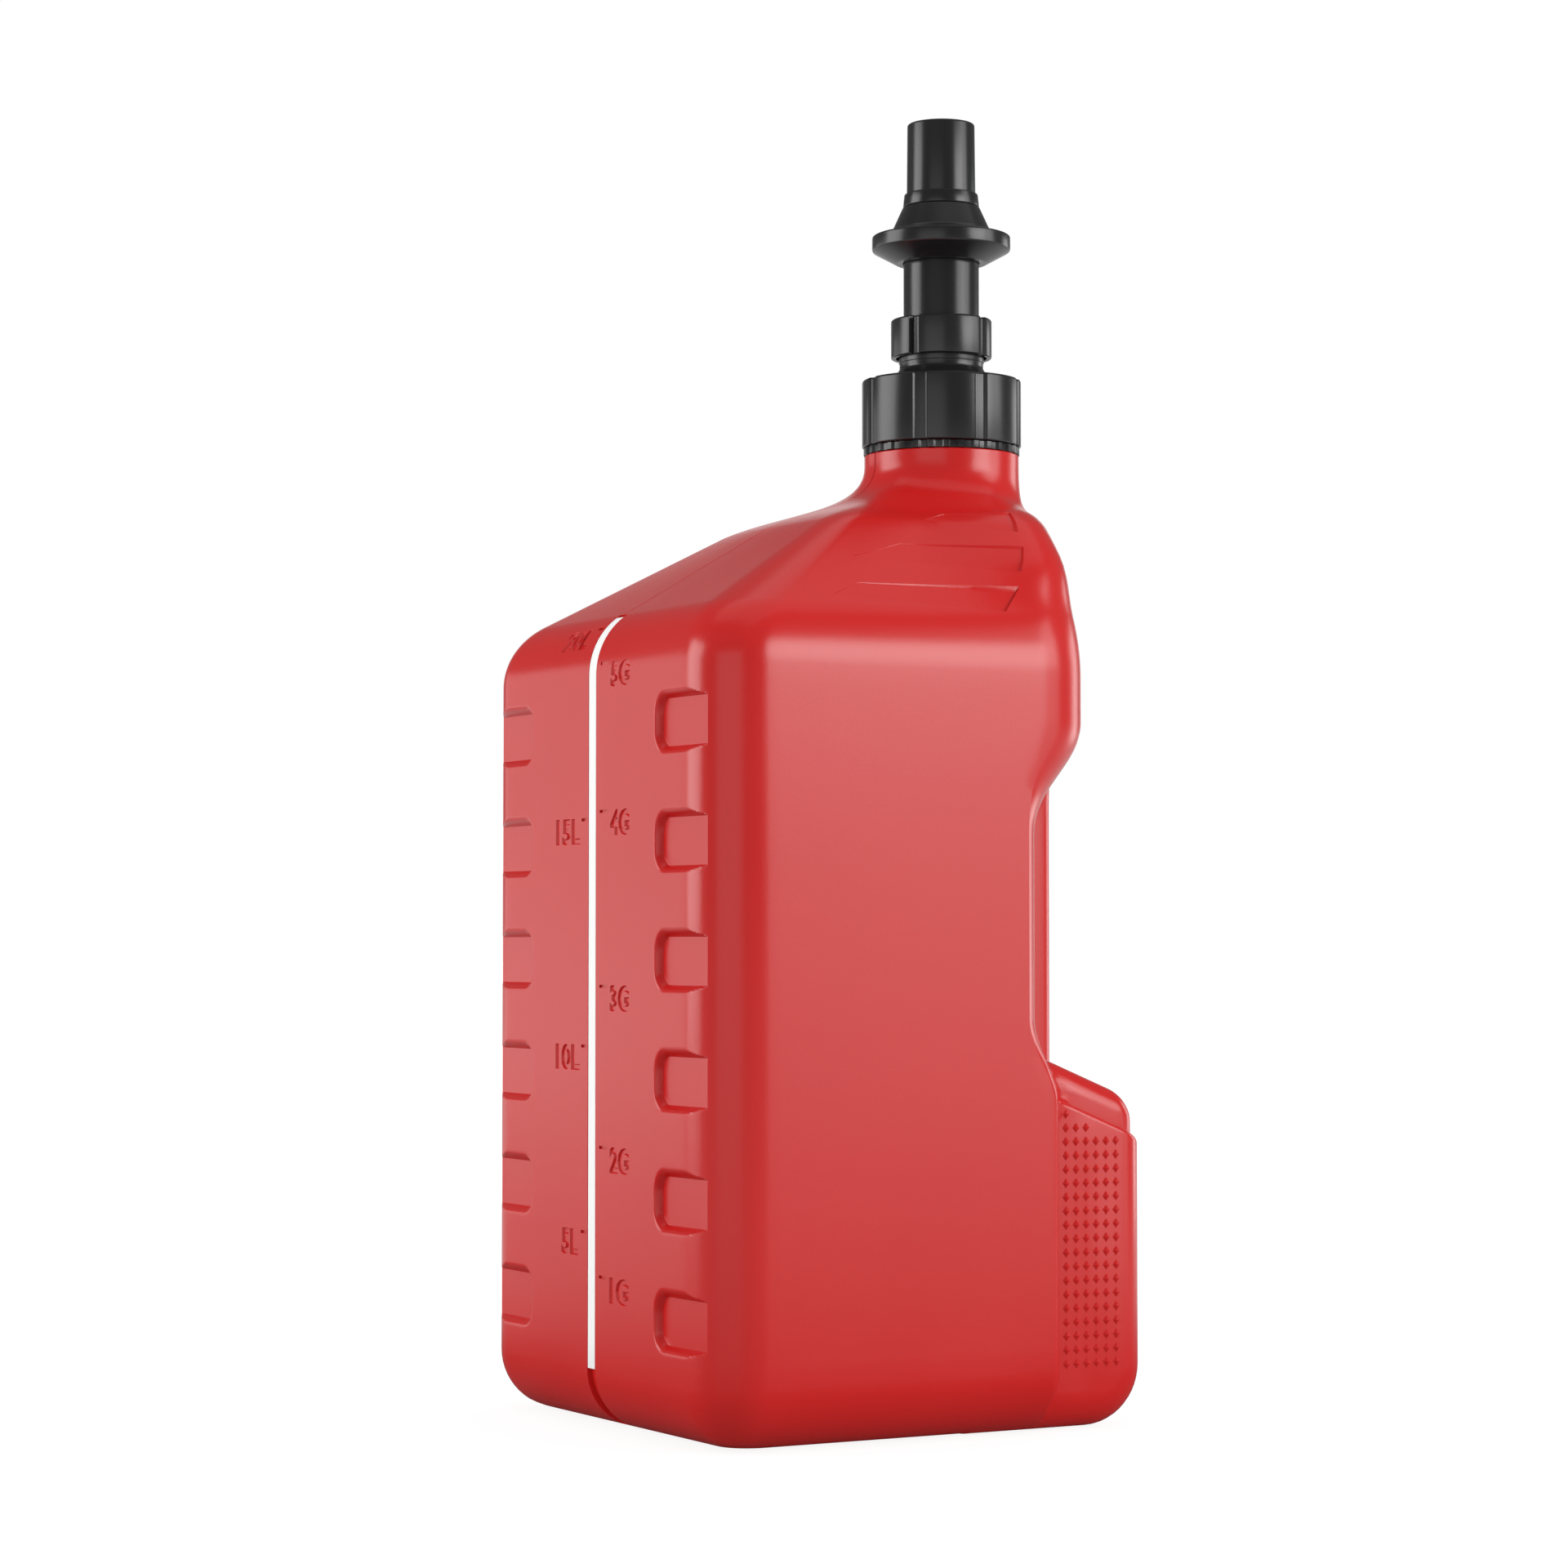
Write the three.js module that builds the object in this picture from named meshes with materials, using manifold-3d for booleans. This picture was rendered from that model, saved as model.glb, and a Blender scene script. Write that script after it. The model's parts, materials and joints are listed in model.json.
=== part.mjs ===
// Fuel can of about 20 litres with a spring-loaded quick-fill nozzle on a screw ring.
// Millimetres, +Z up, the gauge face looks along -Y, the origin is the centre of the footprint.
import * as THREE from 'three';
import { mergeVertices } from 'three/addons/utils/BufferGeometryUtils.js';
import Module from 'manifold-3d';

const wasm = await Module();
wasm.setup();

// Fits
const SEAT_GAP = 0.3;
const RUNNING_GAP = 0.35;
const THREAD_GAP = 1.4;
const FLANGE_GAP = 1;
const CUT_PAST = 1;

// Tank
const WIDTH = 250;
const DEPTH = 250;
const WALL = 3;
const FRONT_CORNER_R = 30;
const FOOT_R = 30;
const SHOULDER_Z = 388;
const SHOULDER_R = 36;
const SHOULDER_SLOPE = THREE.MathUtils.degToRad(30);
const SLOPE_RUN = 98;
const BLEND_REACH = 27;
const BLEND_RISE = 70;

// Rear outline of the tank, measured back from the front face
const UPPER_PANEL_END = 179;
const UPPER_CORNER_R = 45;
const RECESS_PANEL_END = 173;
const RECESS_CORNER_R = 8;
const LOWER_PANEL_END = 186;
const LOWER_CORNER_R = 6;

// Shoulder at the rear, fuller than at the front, by the bearing seen from the neck
const REAR_FULLNESS = 1.8;
const REAR_FULL_FROM = THREE.MathUtils.degToRad(-40);
const REAR_FULL_TO = THREE.MathUtils.degToRad(10);

// Heights of the hand recess
const RECESS_FOOT_Z = 160;
const RECESS_LOW_Z = 200;
const RECESS_HIGH_Z = 290;
const RECESS_TOP_Z = 345;

// Grip bar across the hand recess
const GRIP_HALF = 33;
const GRIP_DEPTH = 32;
const GRIP_CORNER_R = 11;
const GRIP_ROOT_HALF = 47;
const GRIP_ROOT_CORNER_R = 12;
const GRIP_ROOT_Z = 305;
const GRIP_ROOT_INSET = 6;
const GRIP_FOOT_Z = 135;

// Heel block under the hand recess
const HEEL_HALF = 116;
const HEEL_FRONT = 150;
const HEEL_ROUND = 18;
const CROWN_ROUND = 12;
const HEEL_TOP_Z = 178.5;
const HEEL_TOP_FROM = 200;
const HEEL_FALL = 20;
const HEEL_CORNER_R = 5;
const LEDGE = 3.5;
const LEDGE_DROP = 19;

// Corner pockets of the gauge face
const POCKET_COUNT = 6;
const POCKET_PITCH = 56.4;
const POCKET_FIRST_Z = 59;
const POCKET_HEIGHT = 23.5;
const POCKET_INNER_X = 69.5;
const POCKET_DEPTH = 4.5;
const POCKET_FLARE = 3.5;
const POCKET_CORNER_R = 8;

// Shallow gills on each side of the shoulder, lowest first
const GILL_DEPTH = 2.4;
const GILL_REACH = 15;
const GILL_HEIGHTS = [18, 18, 13];
const GILL_RISES = [22.5, 44, 62.5];
const GILL_STARTS = [68, 86, 120];
const GILL_ENDS = [174, 183.5, 189];

// Sight strip on the gauge face
const STRIP_WIDTH = 7.6;
const STRIP_THICK = 2;
const STRIP_WRAP = THREE.MathUtils.degToRad(55);
const GROOVE_FOOT_WRAP = THREE.MathUtils.degToRad(70);

// Neck
const NECK_SETBACK = 49;
const NECK_R = 39.8;
const NECK_BLEND = 23.8;
const NECK_LAND = 5.5;
const FINISH_R = 36;
const FINISH_HEIGHT = 29.6;
const NECK_BORE_R = 30;

// Lock band and screw ring
const BAND_R = 40.2;
const BAND_HEIGHT = 3.9;
const BAND_SLOTS = 32;
const BAND_SLOT_DEPTH = 1.2;
const RING_WALL = 3.6;
const RING_LIP = 3.5;
const RING_LIP_R = 28;
const RING_FLUTES = 8;
const RING_TURN = THREE.MathUtils.degToRad(-2.5);
const RING_FLUTE_WIDTH = 6.5;
const RING_FLUTE_DEPTH = 1.5;

// Spout base, gasket and gland nut
const GASKET_THICK = 1.8;
const GASKET_WIDTH = 5.2;
const BASE_R = 36.4;
const BASE_FLANGE = 3.3;
const BASE_WELL = 6.1;
const BASE_DOME_R = 27.2;
const BASE_NECK_R = 21.6;
const BASE_DOME_RISE = 6;
const BASE_WAIST = 3.1;
const BASE_COLLAR_R = 22;
const BASE_COLLAR = 14.5;
const NUT_R = 26;
const NUT_SKIRT_GAP = 2.5;
const NUT_PLATE = 3.1;
const NUT_LOBES = 4;
const NUT_TURN = THREE.MathUtils.degToRad(25);
const NUT_FLUTE_WIDTH = 5;
const NUT_FLUTE_DEPTH = 2.4;
const GLAND_SEAL_THICK = 3;
const SLIP_THICK = 1;

// Slide tube
const TUBE_R = 19.5;
const TUBE_WALL = 1.4;
const TUBE_FOOT_R = 22.2;
const TUBE_FOOT = 3;
const TUBE_BARE = 29.5;

// Sliding nozzle
const NOZZLE_R = 17.75;
const NOZZLE_WALL = 2;
const NOZZLE_TRAVEL = 24;
const NOZZLE_BARE = 36.5;
const NOZZLE_ENGAGED = 19;
const NOZZLE_TIP_ROUND = 1.5;
const TIP_DEPTH = 10;
const SEAT_THICK = 3;
const SEAT_BORE_R = 10.5;
const TIP_GAP = 1;

// Stop flange on the nozzle
const FLANGE_R = 35.75;
const FLANGE_UNDER_RISE = 6.7;
const FLANGE_RIM = 7.1;
const FLANGE_TOP_RISE = 2.5;
const FLANGE_LIP = 1;
const CONE_FOOT_R = 25.7;
const CONE_TOP_R = 19.9;
const CONE_RISE = 12.7;
const CONE_CAP = 3.7;
const COLLAR_R = 19.7;
const COLLAR_HEIGHT = 6.7;

// Valve cage, stem and head
const CAGE_RIM = 5.4;
const CAGE_RIM_THICK = 3;
const CAGE_ROOM = 8.7;
const CAGE_FLOOR = 4.7;
const CAGE_HUB_R = 6;
const CAGE_LEGS = 4;
const CAGE_LEG = 4.2;
const CAGE_LEG_WIDTH = 5;
const STEM_R = 3.5;
const STEM_COLLAR_R = 5.5;
const STEM_COLLAR = 2;
const STEM_NUT_R = 5.8;
const STEM_NUT = 5;
const VALVE_R = 14.4;
const VALVE_THICK = 4;
const SEAL_THICK = 1.8;
const SEAL_WIDTH = 2.8;

// Return spring
const SPRING_R = 16.6;
const SPRING_WIRE = 1.8;
const SPRING_TURNS = 11;
const SPRING_SEAT_THICK = 1.5;
const SPRING_SEAT_WIDTH = 3.6;

// Facets
const ROUND = 32;
const ARC_STEPS = 4;
const HOLLOW_STEPS = 2;
const SHOULDER_STEPS = 4;
const BLEND_STEPS = 6;
const TRANSITION_STEPS = 5;
const FRONT_SPANS = 4;
const SIDE_SPANS = 3;
const BOW_SPANS = 6;
const LOBE_SPANS = 5;
const NUT_LOBE_SPANS = 8;
const FLUTE_SPANS = 2;
const SPRING_STEPS = 8;
const SPRING_SIDES = 5;
const HEX_SIDES = 6;
const LEAST_BOW = 0.01;
const LEAST_CORNER_R = 1;
const MERGE_REACH = 1e-4;

// Derived places of the can
const FRONT = -DEPTH / 2;
const REAR = DEPTH / 2;
const NECK_Y = REAR - NECK_SETBACK;
const AXIS = new THREE.Vector2(0, NECK_Y);
const SHOULDER_TURN = Math.PI / 2 - SHOULDER_SLOPE;
const SHOULDER_FOOT_Z = SHOULDER_Z - SHOULDER_R * Math.tan(SHOULDER_TURN / 2);
const HEEL_SLOPE = Math.atan2(HEEL_FALL, DEPTH - HEEL_TOP_FROM);
const STRIP_DEPTH = STRIP_THICK + SEAT_GAP;
const BLEND_Z = SHOULDER_Z + BLEND_RISE;
const NECK_BLEND_TOP = BLEND_Z + NECK_BLEND;
const NECK_STEP_Z = NECK_BLEND_TOP + NECK_LAND;
const MOUTH_Z = NECK_STEP_Z + FINISH_HEIGHT;

// Derived places of the ring and the spout base, from the neck up
const BAND_Z = NECK_STEP_Z + SEAT_GAP;
const RING_Z = BAND_Z + BAND_HEIGHT + SEAT_GAP;
const RING_BORE_R = Math.max(FINISH_R + THREAD_GAP, BASE_R + FLANGE_GAP);
const RING_R = RING_BORE_R + RING_WALL;
const GASKET_Z = MOUTH_Z + SEAT_GAP;
const BASE_Z = GASKET_Z + GASKET_THICK + SEAT_GAP;
const BASE_FLANGE_Z = BASE_Z + BASE_FLANGE;
const BASE_STOP_Z = BASE_Z + BASE_WELL;
const BASE_BORE_R = TUBE_R + RUNNING_GAP;
const BASE_WELL_R = TUBE_FOOT_R + RUNNING_GAP;
const RING_LIP_Z = BASE_FLANGE_Z + SEAT_GAP;
const RING_TOP_Z = RING_LIP_Z + RING_LIP;
const BASE_DOME_Z = RING_TOP_Z + BASE_DOME_RISE;
const BASE_COLLAR_Z = BASE_DOME_Z + BASE_WAIST;
const BASE_TOP_Z = BASE_COLLAR_Z + BASE_COLLAR;
const GLAND_SEAL_Z = BASE_TOP_Z + SEAT_GAP;
const SLIP_Z = GLAND_SEAL_Z + GLAND_SEAL_THICK + SEAT_GAP;
const NUT_Z = BASE_COLLAR_Z + NUT_SKIRT_GAP;
const NUT_PLATE_Z = SLIP_Z + SLIP_THICK + SEAT_GAP;
const NUT_TOP_Z = NUT_PLATE_Z + NUT_PLATE;

// Derived places of the sliding nozzle and its valve
const TUBE_Z = BASE_STOP_Z - SEAT_GAP - TUBE_FOOT;
const TUBE_BORE_R = TUBE_R - TUBE_WALL;
const FLANGE_LOW_Z = NUT_TOP_Z + TUBE_BARE;
const FLANGE_RIM_Z = FLANGE_LOW_Z + FLANGE_UNDER_RISE;
const FLANGE_RIM_TOP_Z = FLANGE_RIM_Z + FLANGE_RIM;
const CONE_FOOT_Z = FLANGE_RIM_TOP_Z + FLANGE_TOP_RISE;
const CONE_TOP_Z = CONE_FOOT_Z + CONE_RISE;
const FLANGE_BORE_R = TUBE_R + SEAT_GAP;
const FLANGE_STEP_Z = CONE_TOP_Z - CONE_CAP;
const TUBE_TOP_Z = FLANGE_STEP_Z - SEAT_GAP;
const COLLAR_Z = CONE_TOP_Z + SEAT_GAP;
const NOZZLE_FOOT_Z = TUBE_TOP_Z - NOZZLE_ENGAGED;
const NOZZLE_TOP_Z = COLLAR_Z + COLLAR_HEIGHT + NOZZLE_BARE;
const NOZZLE_BORE_R = NOZZLE_R - NOZZLE_WALL;
const SEAT_TOP_Z = NOZZLE_TOP_Z - TIP_DEPTH;
const SEAT_Z = SEAT_TOP_Z - SEAT_THICK;
const SEAL_Z = SEAT_TOP_Z + SEAT_GAP;
const VALVE_Z = SEAL_Z + SEAL_THICK + SEAT_GAP;
const CAGE_R = NECK_BORE_R - RUNNING_GAP;
const CAGE_TOP_Z = BASE_Z - SEAT_GAP;
const CAGE_FLOOR_TOP = TUBE_Z - NOZZLE_TRAVEL - CAGE_ROOM;
const CAGE_FLOOR_Z = CAGE_FLOOR_TOP - CAGE_FLOOR;
const STEM_COLLAR_Z = CAGE_FLOOR_TOP + SEAT_GAP;
const STEM_NUT_Z = CAGE_FLOOR_Z - SEAT_GAP - STEM_NUT;
const SPRING_SEAT_Z = CAGE_FLOOR_TOP + SEAT_GAP;
const SPRING_Z = SPRING_SEAT_Z + SPRING_SEAT_THICK + SEAT_GAP;
const SPRING_TOP_Z = NOZZLE_FOOT_Z - SEAT_GAP;

// Finishes
const RED = { color: 0xc81e1e, roughness: 0.5, metalness: 0 };
const BLACK = { color: 0x2b2c2e, roughness: 0.42, metalness: 0 };
const RUBBER = { color: 0x1b1b1c, roughness: 0.8, metalness: 0 };
const MILKY = { color: 0xf4f4f0, roughness: 0.35, metalness: 0 };
const STEEL = { color: 0xb9bcc0, roughness: 0.3, metalness: 1 };

/** Closed triangle solid of a geometry, with shared corners merged and slivers dropped. */
function solid(geometry) {
  const bare = geometry.clone();
  bare.deleteAttribute('normal');
  bare.deleteAttribute('uv');
  const merged = mergeVertices(bare, MERGE_REACH);
  const corners = merged.index.array;
  const triangles = [];
  for (let i = 0; i < corners.length; i += 3) {
    const [a, b, c] = [corners[i], corners[i + 1], corners[i + 2]];
    if (a !== b && b !== c && c !== a) triangles.push(a, b, c);
  }
  const place = merged.attributes.position;
  const at = (i) => new THREE.Vector3().fromBufferAttribute(place, i);
  let volume = 0;
  for (let i = 0; i < triangles.length; i += 3) {
    volume += at(triangles[i]).dot(at(triangles[i + 1]).cross(at(triangles[i + 2])));
  }
  if (volume < 0) triangles.reverse();
  return new wasm.Manifold(new wasm.Mesh({
    numProp: 3,
    vertProperties: new Float32Array(place.array),
    triVerts: new Uint32Array(triangles),
  }));
}

/** Named mesh of a solid. */
function piece(name, body, finish) {
  const { vertProperties, triVerts } = body.getMesh();
  const geometry = new THREE.BufferGeometry();
  geometry.setAttribute('position', new THREE.BufferAttribute(new Float32Array(vertProperties), 3));
  geometry.setIndex(new THREE.BufferAttribute(new Uint32Array(triVerts), 1));
  geometry.computeVertexNormals();
  const mesh = new THREE.Mesh(geometry, new THREE.MeshStandardMaterial({ ...finish, flatShading: true }));
  mesh.name = name;
  return mesh;
}

/** Solid turned about the nozzle axis from [radius, height] corners. */
function turned(profile, round = ROUND) {
  const points = profile.map(([r, z]) => new THREE.Vector2(r, z));
  const onAxis = profile[0][0] === 0 && profile.at(-1)[0] === 0;
  if (!onAxis) points.push(points[0].clone());
  const geometry = new THREE.LatheGeometry(points, round);
  geometry.rotateX(Math.PI / 2);
  geometry.translate(AXIS.x, AXIS.y, 0);
  return solid(geometry);
}

/** Plain turned ring between two radii. */
function ring(inner, outer, low, high, round = ROUND) {
  return turned([[inner, low], [outer, low], [outer, high], [inner, high]], round);
}

/** Solid cylinder on the nozzle axis. */
function disc(radius, low, high, round = ROUND) {
  return turned([[0, low], [radius, low], [radius, high], [0, high]], round);
}

/** Extrusion of a flat outline along +Z on the nozzle axis. */
function prism(outline, low, high) {
  const geometry = new THREE.ExtrudeGeometry(outline, { depth: high - low, bevelEnabled: false });
  geometry.translate(AXIS.x, AXIS.y, low);
  return solid(geometry);
}

/** Extrusion across the can, centred on its mid-plane, of an outline drawn in (Y, Z). */
function crosswise(outline, half, bevel = 0, steps = ARC_STEPS) {
  const geometry = new THREE.ExtrudeGeometry(outline, {
    depth: 2 * (half - bevel),
    bevelEnabled: bevel > 0,
    bevelSize: bevel,
    bevelThickness: bevel,
    bevelSegments: steps,
    curveSegments: ARC_STEPS,
  });
  geometry.translate(0, 0, bevel - half);
  const axes = new THREE.Matrix4().makeBasis(
    new THREE.Vector3(0, 1, 0), new THREE.Vector3(0, 0, 1), new THREE.Vector3(1, 0, 0));
  geometry.applyMatrix4(axes);
  return solid(geometry);
}

/** Loft through level rings of equal point counts, closed by a flat cap at each end. */
function loft(rings) {
  const count = rings[0].points.length;
  const places = [];
  for (const { z, points } of rings) {
    for (const p of points) places.push(p.x, p.y, z);
  }
  const faces = [];
  for (let r = 0; r + 1 < rings.length; r += 1) {
    for (let i = 0; i < count; i += 1) {
      const a = r * count + i;
      const b = r * count + ((i + 1) % count);
      faces.push(a, b, b + count, a, b + count, a + count);
    }
  }
  const caps = [[0, true], [rings.length - 1, false]];
  for (const [r, down] of caps) {
    const flat = THREE.ShapeUtils.triangulateShape(rings[r].points, []);
    for (const [a, b, c] of flat) {
      const face = [a, b, c].map((i) => r * count + i);
      faces.push(...(down ? face.reverse() : face));
    }
  }
  const geometry = new THREE.BufferGeometry();
  geometry.setAttribute('position', new THREE.Float32BufferAttribute(places, 3));
  geometry.setIndex(faces);
  return solid(geometry);
}

/** Points of an arc from one angle to another, both ends included. */
function arc(cx, cy, radius, from, to, steps) {
  const points = [];
  for (let i = 0; i <= steps; i += 1) {
    const angle = steps > 0 ? THREE.MathUtils.lerp(from, to, i / steps) : to;
    points.push(new THREE.Vector2(cx + radius * Math.cos(angle), cy + radius * Math.sin(angle)));
  }
  return points;
}

/** Inner points of a straight span, its two ends left out. */
function between(a, b, spans) {
  const points = [];
  for (let i = 1; i < spans; i += 1) points.push(a.clone().lerp(b, i / spans));
  return points;
}

/** Level outline of the tank: round front corners, round rear corners and a bowed back. */
function tankOutline({ half, front, frontR, panelEnd, rearR, rear, steps }) {
  const centre = half - rearR;
  const reach = rear - panelEnd;
  const bulge = Math.max(reach - rearR, LEAST_BOW);
  const bowR = (centre * centre + reach * reach - rearR * rearR) / (2 * bulge);
  const meet = Math.atan2(panelEnd - (rear - bowR), centre);
  const right = [
    ...arc(half - frontR, front + frontR, frontR, -Math.PI / 2, 0, steps),
    ...between(new THREE.Vector2(half, front + frontR), new THREE.Vector2(half, panelEnd), SIDE_SPANS),
    ...arc(centre, panelEnd, rearR, 0, meet, steps),
  ];
  const bow = arc(0, rear - bowR, bowR, meet, Math.PI - meet, BOW_SPANS).slice(1, -1);
  const left = right.map((p) => new THREE.Vector2(-p.x, p.y)).reverse();
  return [...right, ...bow, ...left, ...between(left.at(-1), right[0], FRONT_SPANS)];
}

/** Smooth step from 0 to 1. */
function ease(t) {
  return THREE.MathUtils.smoothstep(t, 0, 1);
}

/** Rear outline of the tank at a height: heel, hand recess or full bowed back. */
function rearAt(z) {
  const recess = ease((z - RECESS_FOOT_Z) / (RECESS_LOW_Z - RECESS_FOOT_Z));
  const upper = ease((z - RECESS_HIGH_Z) / (RECESS_TOP_Z - RECESS_HIGH_Z));
  const mix = (low, mid, high) => THREE.MathUtils.lerp(THREE.MathUtils.lerp(low, mid, recess), high, upper);
  const panelEnd = FRONT + mix(LOWER_PANEL_END, RECESS_PANEL_END, UPPER_PANEL_END);
  const rearR = mix(LOWER_CORNER_R, RECESS_CORNER_R, UPPER_CORNER_R);
  const flatRear = FRONT + mix(LOWER_PANEL_END + LOWER_CORNER_R, RECESS_PANEL_END + RECESS_CORNER_R, DEPTH);
  return { panelEnd, rearR, rear: flatRear };
}

/** Profile of the shoulder above the front face, as [run back, height] corners up to the neck. */
function shoulderProfile() {
  const run = NECK_Y - NECK_R - FRONT;
  const corners = [];
  const top = Math.PI - SHOULDER_TURN;
  for (const p of arc(SHOULDER_R, SHOULDER_FOOT_Z, SHOULDER_R, Math.PI, top, SHOULDER_STEPS)) {
    corners.push([p.x, p.y]);
  }
  const [filletRun, filletZ] = corners.at(-1);
  const slopeZ = filletZ + (SLOPE_RUN - filletRun) * Math.tan(SHOULDER_SLOPE);
  const blend = new THREE.CubicBezierCurve(
    new THREE.Vector2(SLOPE_RUN, slopeZ),
    new THREE.Vector2(SLOPE_RUN + BLEND_REACH, BLEND_Z),
    new THREE.Vector2(run, BLEND_Z),
    new THREE.Vector2(run, NECK_BLEND_TOP));
  corners.push([(filletRun + SLOPE_RUN) / 2, (filletZ + slopeZ) / 2]);
  for (const p of blend.getPoints(BLEND_STEPS)) corners.push([p.x, p.y]);
  return corners.map(([back, z]) => ({ share: back / run, z }));
}

/** Share of the way from an outline point to the neck, which falls behind at the fuller rear. */
function drawnIn(p, share) {
  const bearing = Math.atan2(p.y - NECK_Y, Math.abs(p.x));
  const rear = ease((bearing - REAR_FULL_FROM) / (REAR_FULL_TO - REAR_FULL_FROM));
  return share ** THREE.MathUtils.lerp(1, REAR_FULLNESS, rear);
}

/** Tank loft drawn in by a skin thickness: none for the outside, the wall for the hollow. */
function tank(skin) {
  const steps = skin > 0 ? HOLLOW_STEPS : ARC_STEPS;
  const ringAt = (z, inset, share = 0) => {
    const { panelEnd, rearR, rear } = rearAt(z);
    const cornerR = Math.max(rearR - inset, LEAST_CORNER_R);
    const outline = tankOutline({
      half: WIDTH / 2 - inset,
      front: FRONT + inset,
      frontR: FRONT_CORNER_R - Math.min(inset, FRONT_CORNER_R / 2),
      panelEnd,
      rearR: cornerR,
      rear: Math.max(rear - inset, panelEnd + cornerR),
      steps,
    });
    const throat = skin > 0 ? NECK_BORE_R : NECK_R;
    return outline.map((p) => {
      const spoke = p.clone().sub(AXIS).setLength(throat).add(AXIS);
      return p.lerp(spoke, drawnIn(p, share));
    });
  };
  const rings = [];
  const footR = FOOT_R - skin;
  for (const p of arc(footR, footR, footR, -Math.PI / 2, -Math.PI, steps)) {
    rings.push({ z: p.y + skin, points: ringAt(p.y + skin, p.x + skin) });
  }
  const spans = [[RECESS_FOOT_Z, RECESS_LOW_Z], [RECESS_HIGH_Z, RECESS_TOP_Z]];
  for (const [low, high] of spans) {
    for (let i = 0; i <= TRANSITION_STEPS; i += 1) {
      const z = THREE.MathUtils.lerp(low, high, i / TRANSITION_STEPS);
      rings.push({ z, points: ringAt(z, skin) });
    }
  }
  const drop = skin / Math.cos(SHOULDER_SLOPE);
  for (const { share, z } of shoulderProfile()) {
    rings.push({ z: z - drop, points: ringAt(z, skin, share) });
  }
  return loft(rings);
}

/** Grip bar loft between the heel and the shoulder, drawn in by a skin thickness. */
function gripBar(skin) {
  const steps = skin > 0 ? HOLLOW_STEPS : ARC_STEPS;
  const barAt = (z, share) => {
    const side = THREE.MathUtils.lerp(GRIP_HALF, GRIP_ROOT_HALF, share) - skin;
    const r = THREE.MathUtils.lerp(GRIP_CORNER_R, GRIP_ROOT_CORNER_R, share) - skin;
    const front = REAR - GRIP_DEPTH + skin;
    const rear = REAR - GRIP_ROOT_INSET * share - skin;
    const right = [
      ...arc(side - r, front + r, r, -Math.PI / 2, 0, steps),
      ...arc(side - r, rear - r, r, 0, Math.PI / 2, steps),
    ];
    const left = right.map((p) => new THREE.Vector2(-p.x, p.y)).reverse();
    return { z, points: [...right, ...left] };
  };
  const rings = [barAt(GRIP_FOOT_Z, 0)];
  for (let i = 0; i <= ARC_STEPS; i += 1) {
    const t = i / ARC_STEPS;
    rings.push(barAt(THREE.MathUtils.lerp(GRIP_ROOT_Z, RECESS_TOP_Z, t), ease(t)));
  }
  return loft(rings);
}

/** Height of the falling heel top above a place along Y. */
function heelTopAt(y) {
  return HEEL_TOP_Z - (y - FRONT - HEEL_TOP_FROM) * Math.tan(HEEL_SLOPE);
}

/** Rounded block under the falling heel top, its sides and rear drawn in by an inset. */
function heelBlock(inset, round, floor, footR, skin) {
  const front = FRONT + HEEL_FRONT + round;
  const rear = REAR - inset - round;
  const low = floor + round;
  const drop = round / Math.cos(HEEL_SLOPE);
  const r = HEEL_CORNER_R;
  const bend = (Math.PI / 2 - HEEL_SLOPE) / 2;
  const crownY = rear - r;
  const crownZ = heelTopAt(rear) - drop - r * Math.tan(bend);
  const outline = new THREE.Shape();
  outline.moveTo(front, low);
  outline.lineTo(rear - footR, low);
  outline.absarc(rear - footR, low + footR, footR, -Math.PI / 2, 0, false);
  outline.lineTo(rear, crownZ);
  outline.absarc(crownY, crownZ, r, 0, 2 * bend, false);
  outline.lineTo(front, heelTopAt(front) - drop);
  return crosswise(outline, HEEL_HALF - inset - skin, round - skin, skin > 0 ? HOLLOW_STEPS : ARC_STEPS);
}

/** Heel: a wide skirt up to a crisp ledge and a rounded crown set in above it. */
function heel(skin) {
  const front = FRONT + HEEL_FRONT;
  const past = REAR + HEEL_ROUND;
  const ledgeAt = (y) => heelTopAt(y) - LEDGE_DROP - skin;
  const below = crosswise(new THREE.Shape([
    new THREE.Vector2(front, -CUT_PAST),
    new THREE.Vector2(past, -CUT_PAST),
    new THREE.Vector2(past, ledgeAt(past)),
    new THREE.Vector2(front, ledgeAt(front)),
  ]), WIDTH);
  const skirt = heelBlock(0, HEEL_ROUND, 0, FOOT_R - HEEL_ROUND, skin).intersect(below);
  return skirt.add(heelBlock(LEDGE, CROWN_ROUND, FOOT_R, HEEL_CORNER_R, skin));
}

/** Pocket cutter at one corner of the gauge face, grown by a margin. */
function pocket(z, side, margin) {
  const r = POCKET_CORNER_R;
  const half = POCKET_HEIGHT / 2;
  const inner = POCKET_INNER_X - margin;
  const outer = WIDTH / 2 + POCKET_DEPTH;
  const top = half + margin;
  const outline = new THREE.Shape();
  outline.moveTo(outer, top);
  outline.lineTo(inner + r, top);
  outline.absarc(inner + r, top - r, r, Math.PI / 2, Math.PI, false);
  outline.absarc(inner + r, r - top, r, Math.PI, 1.5 * Math.PI, false);
  outline.lineTo(outer, -top);
  const geometry = new THREE.ExtrudeGeometry(outline, {
    depth: POCKET_DEPTH,
    bevelSize: POCKET_FLARE,
    bevelThickness: POCKET_DEPTH,
    bevelSegments: 1,
    curveSegments: margin > 0 ? 1 : HOLLOW_STEPS + 1,
  });
  const turn = new THREE.Matrix4().makeBasis(
    new THREE.Vector3(side, 0, 0), new THREE.Vector3(0, 0, 1), new THREE.Vector3(0, -1, 0));
  geometry.applyMatrix4(turn);
  geometry.translate(0, FRONT + margin, z);
  return solid(geometry);
}

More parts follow.
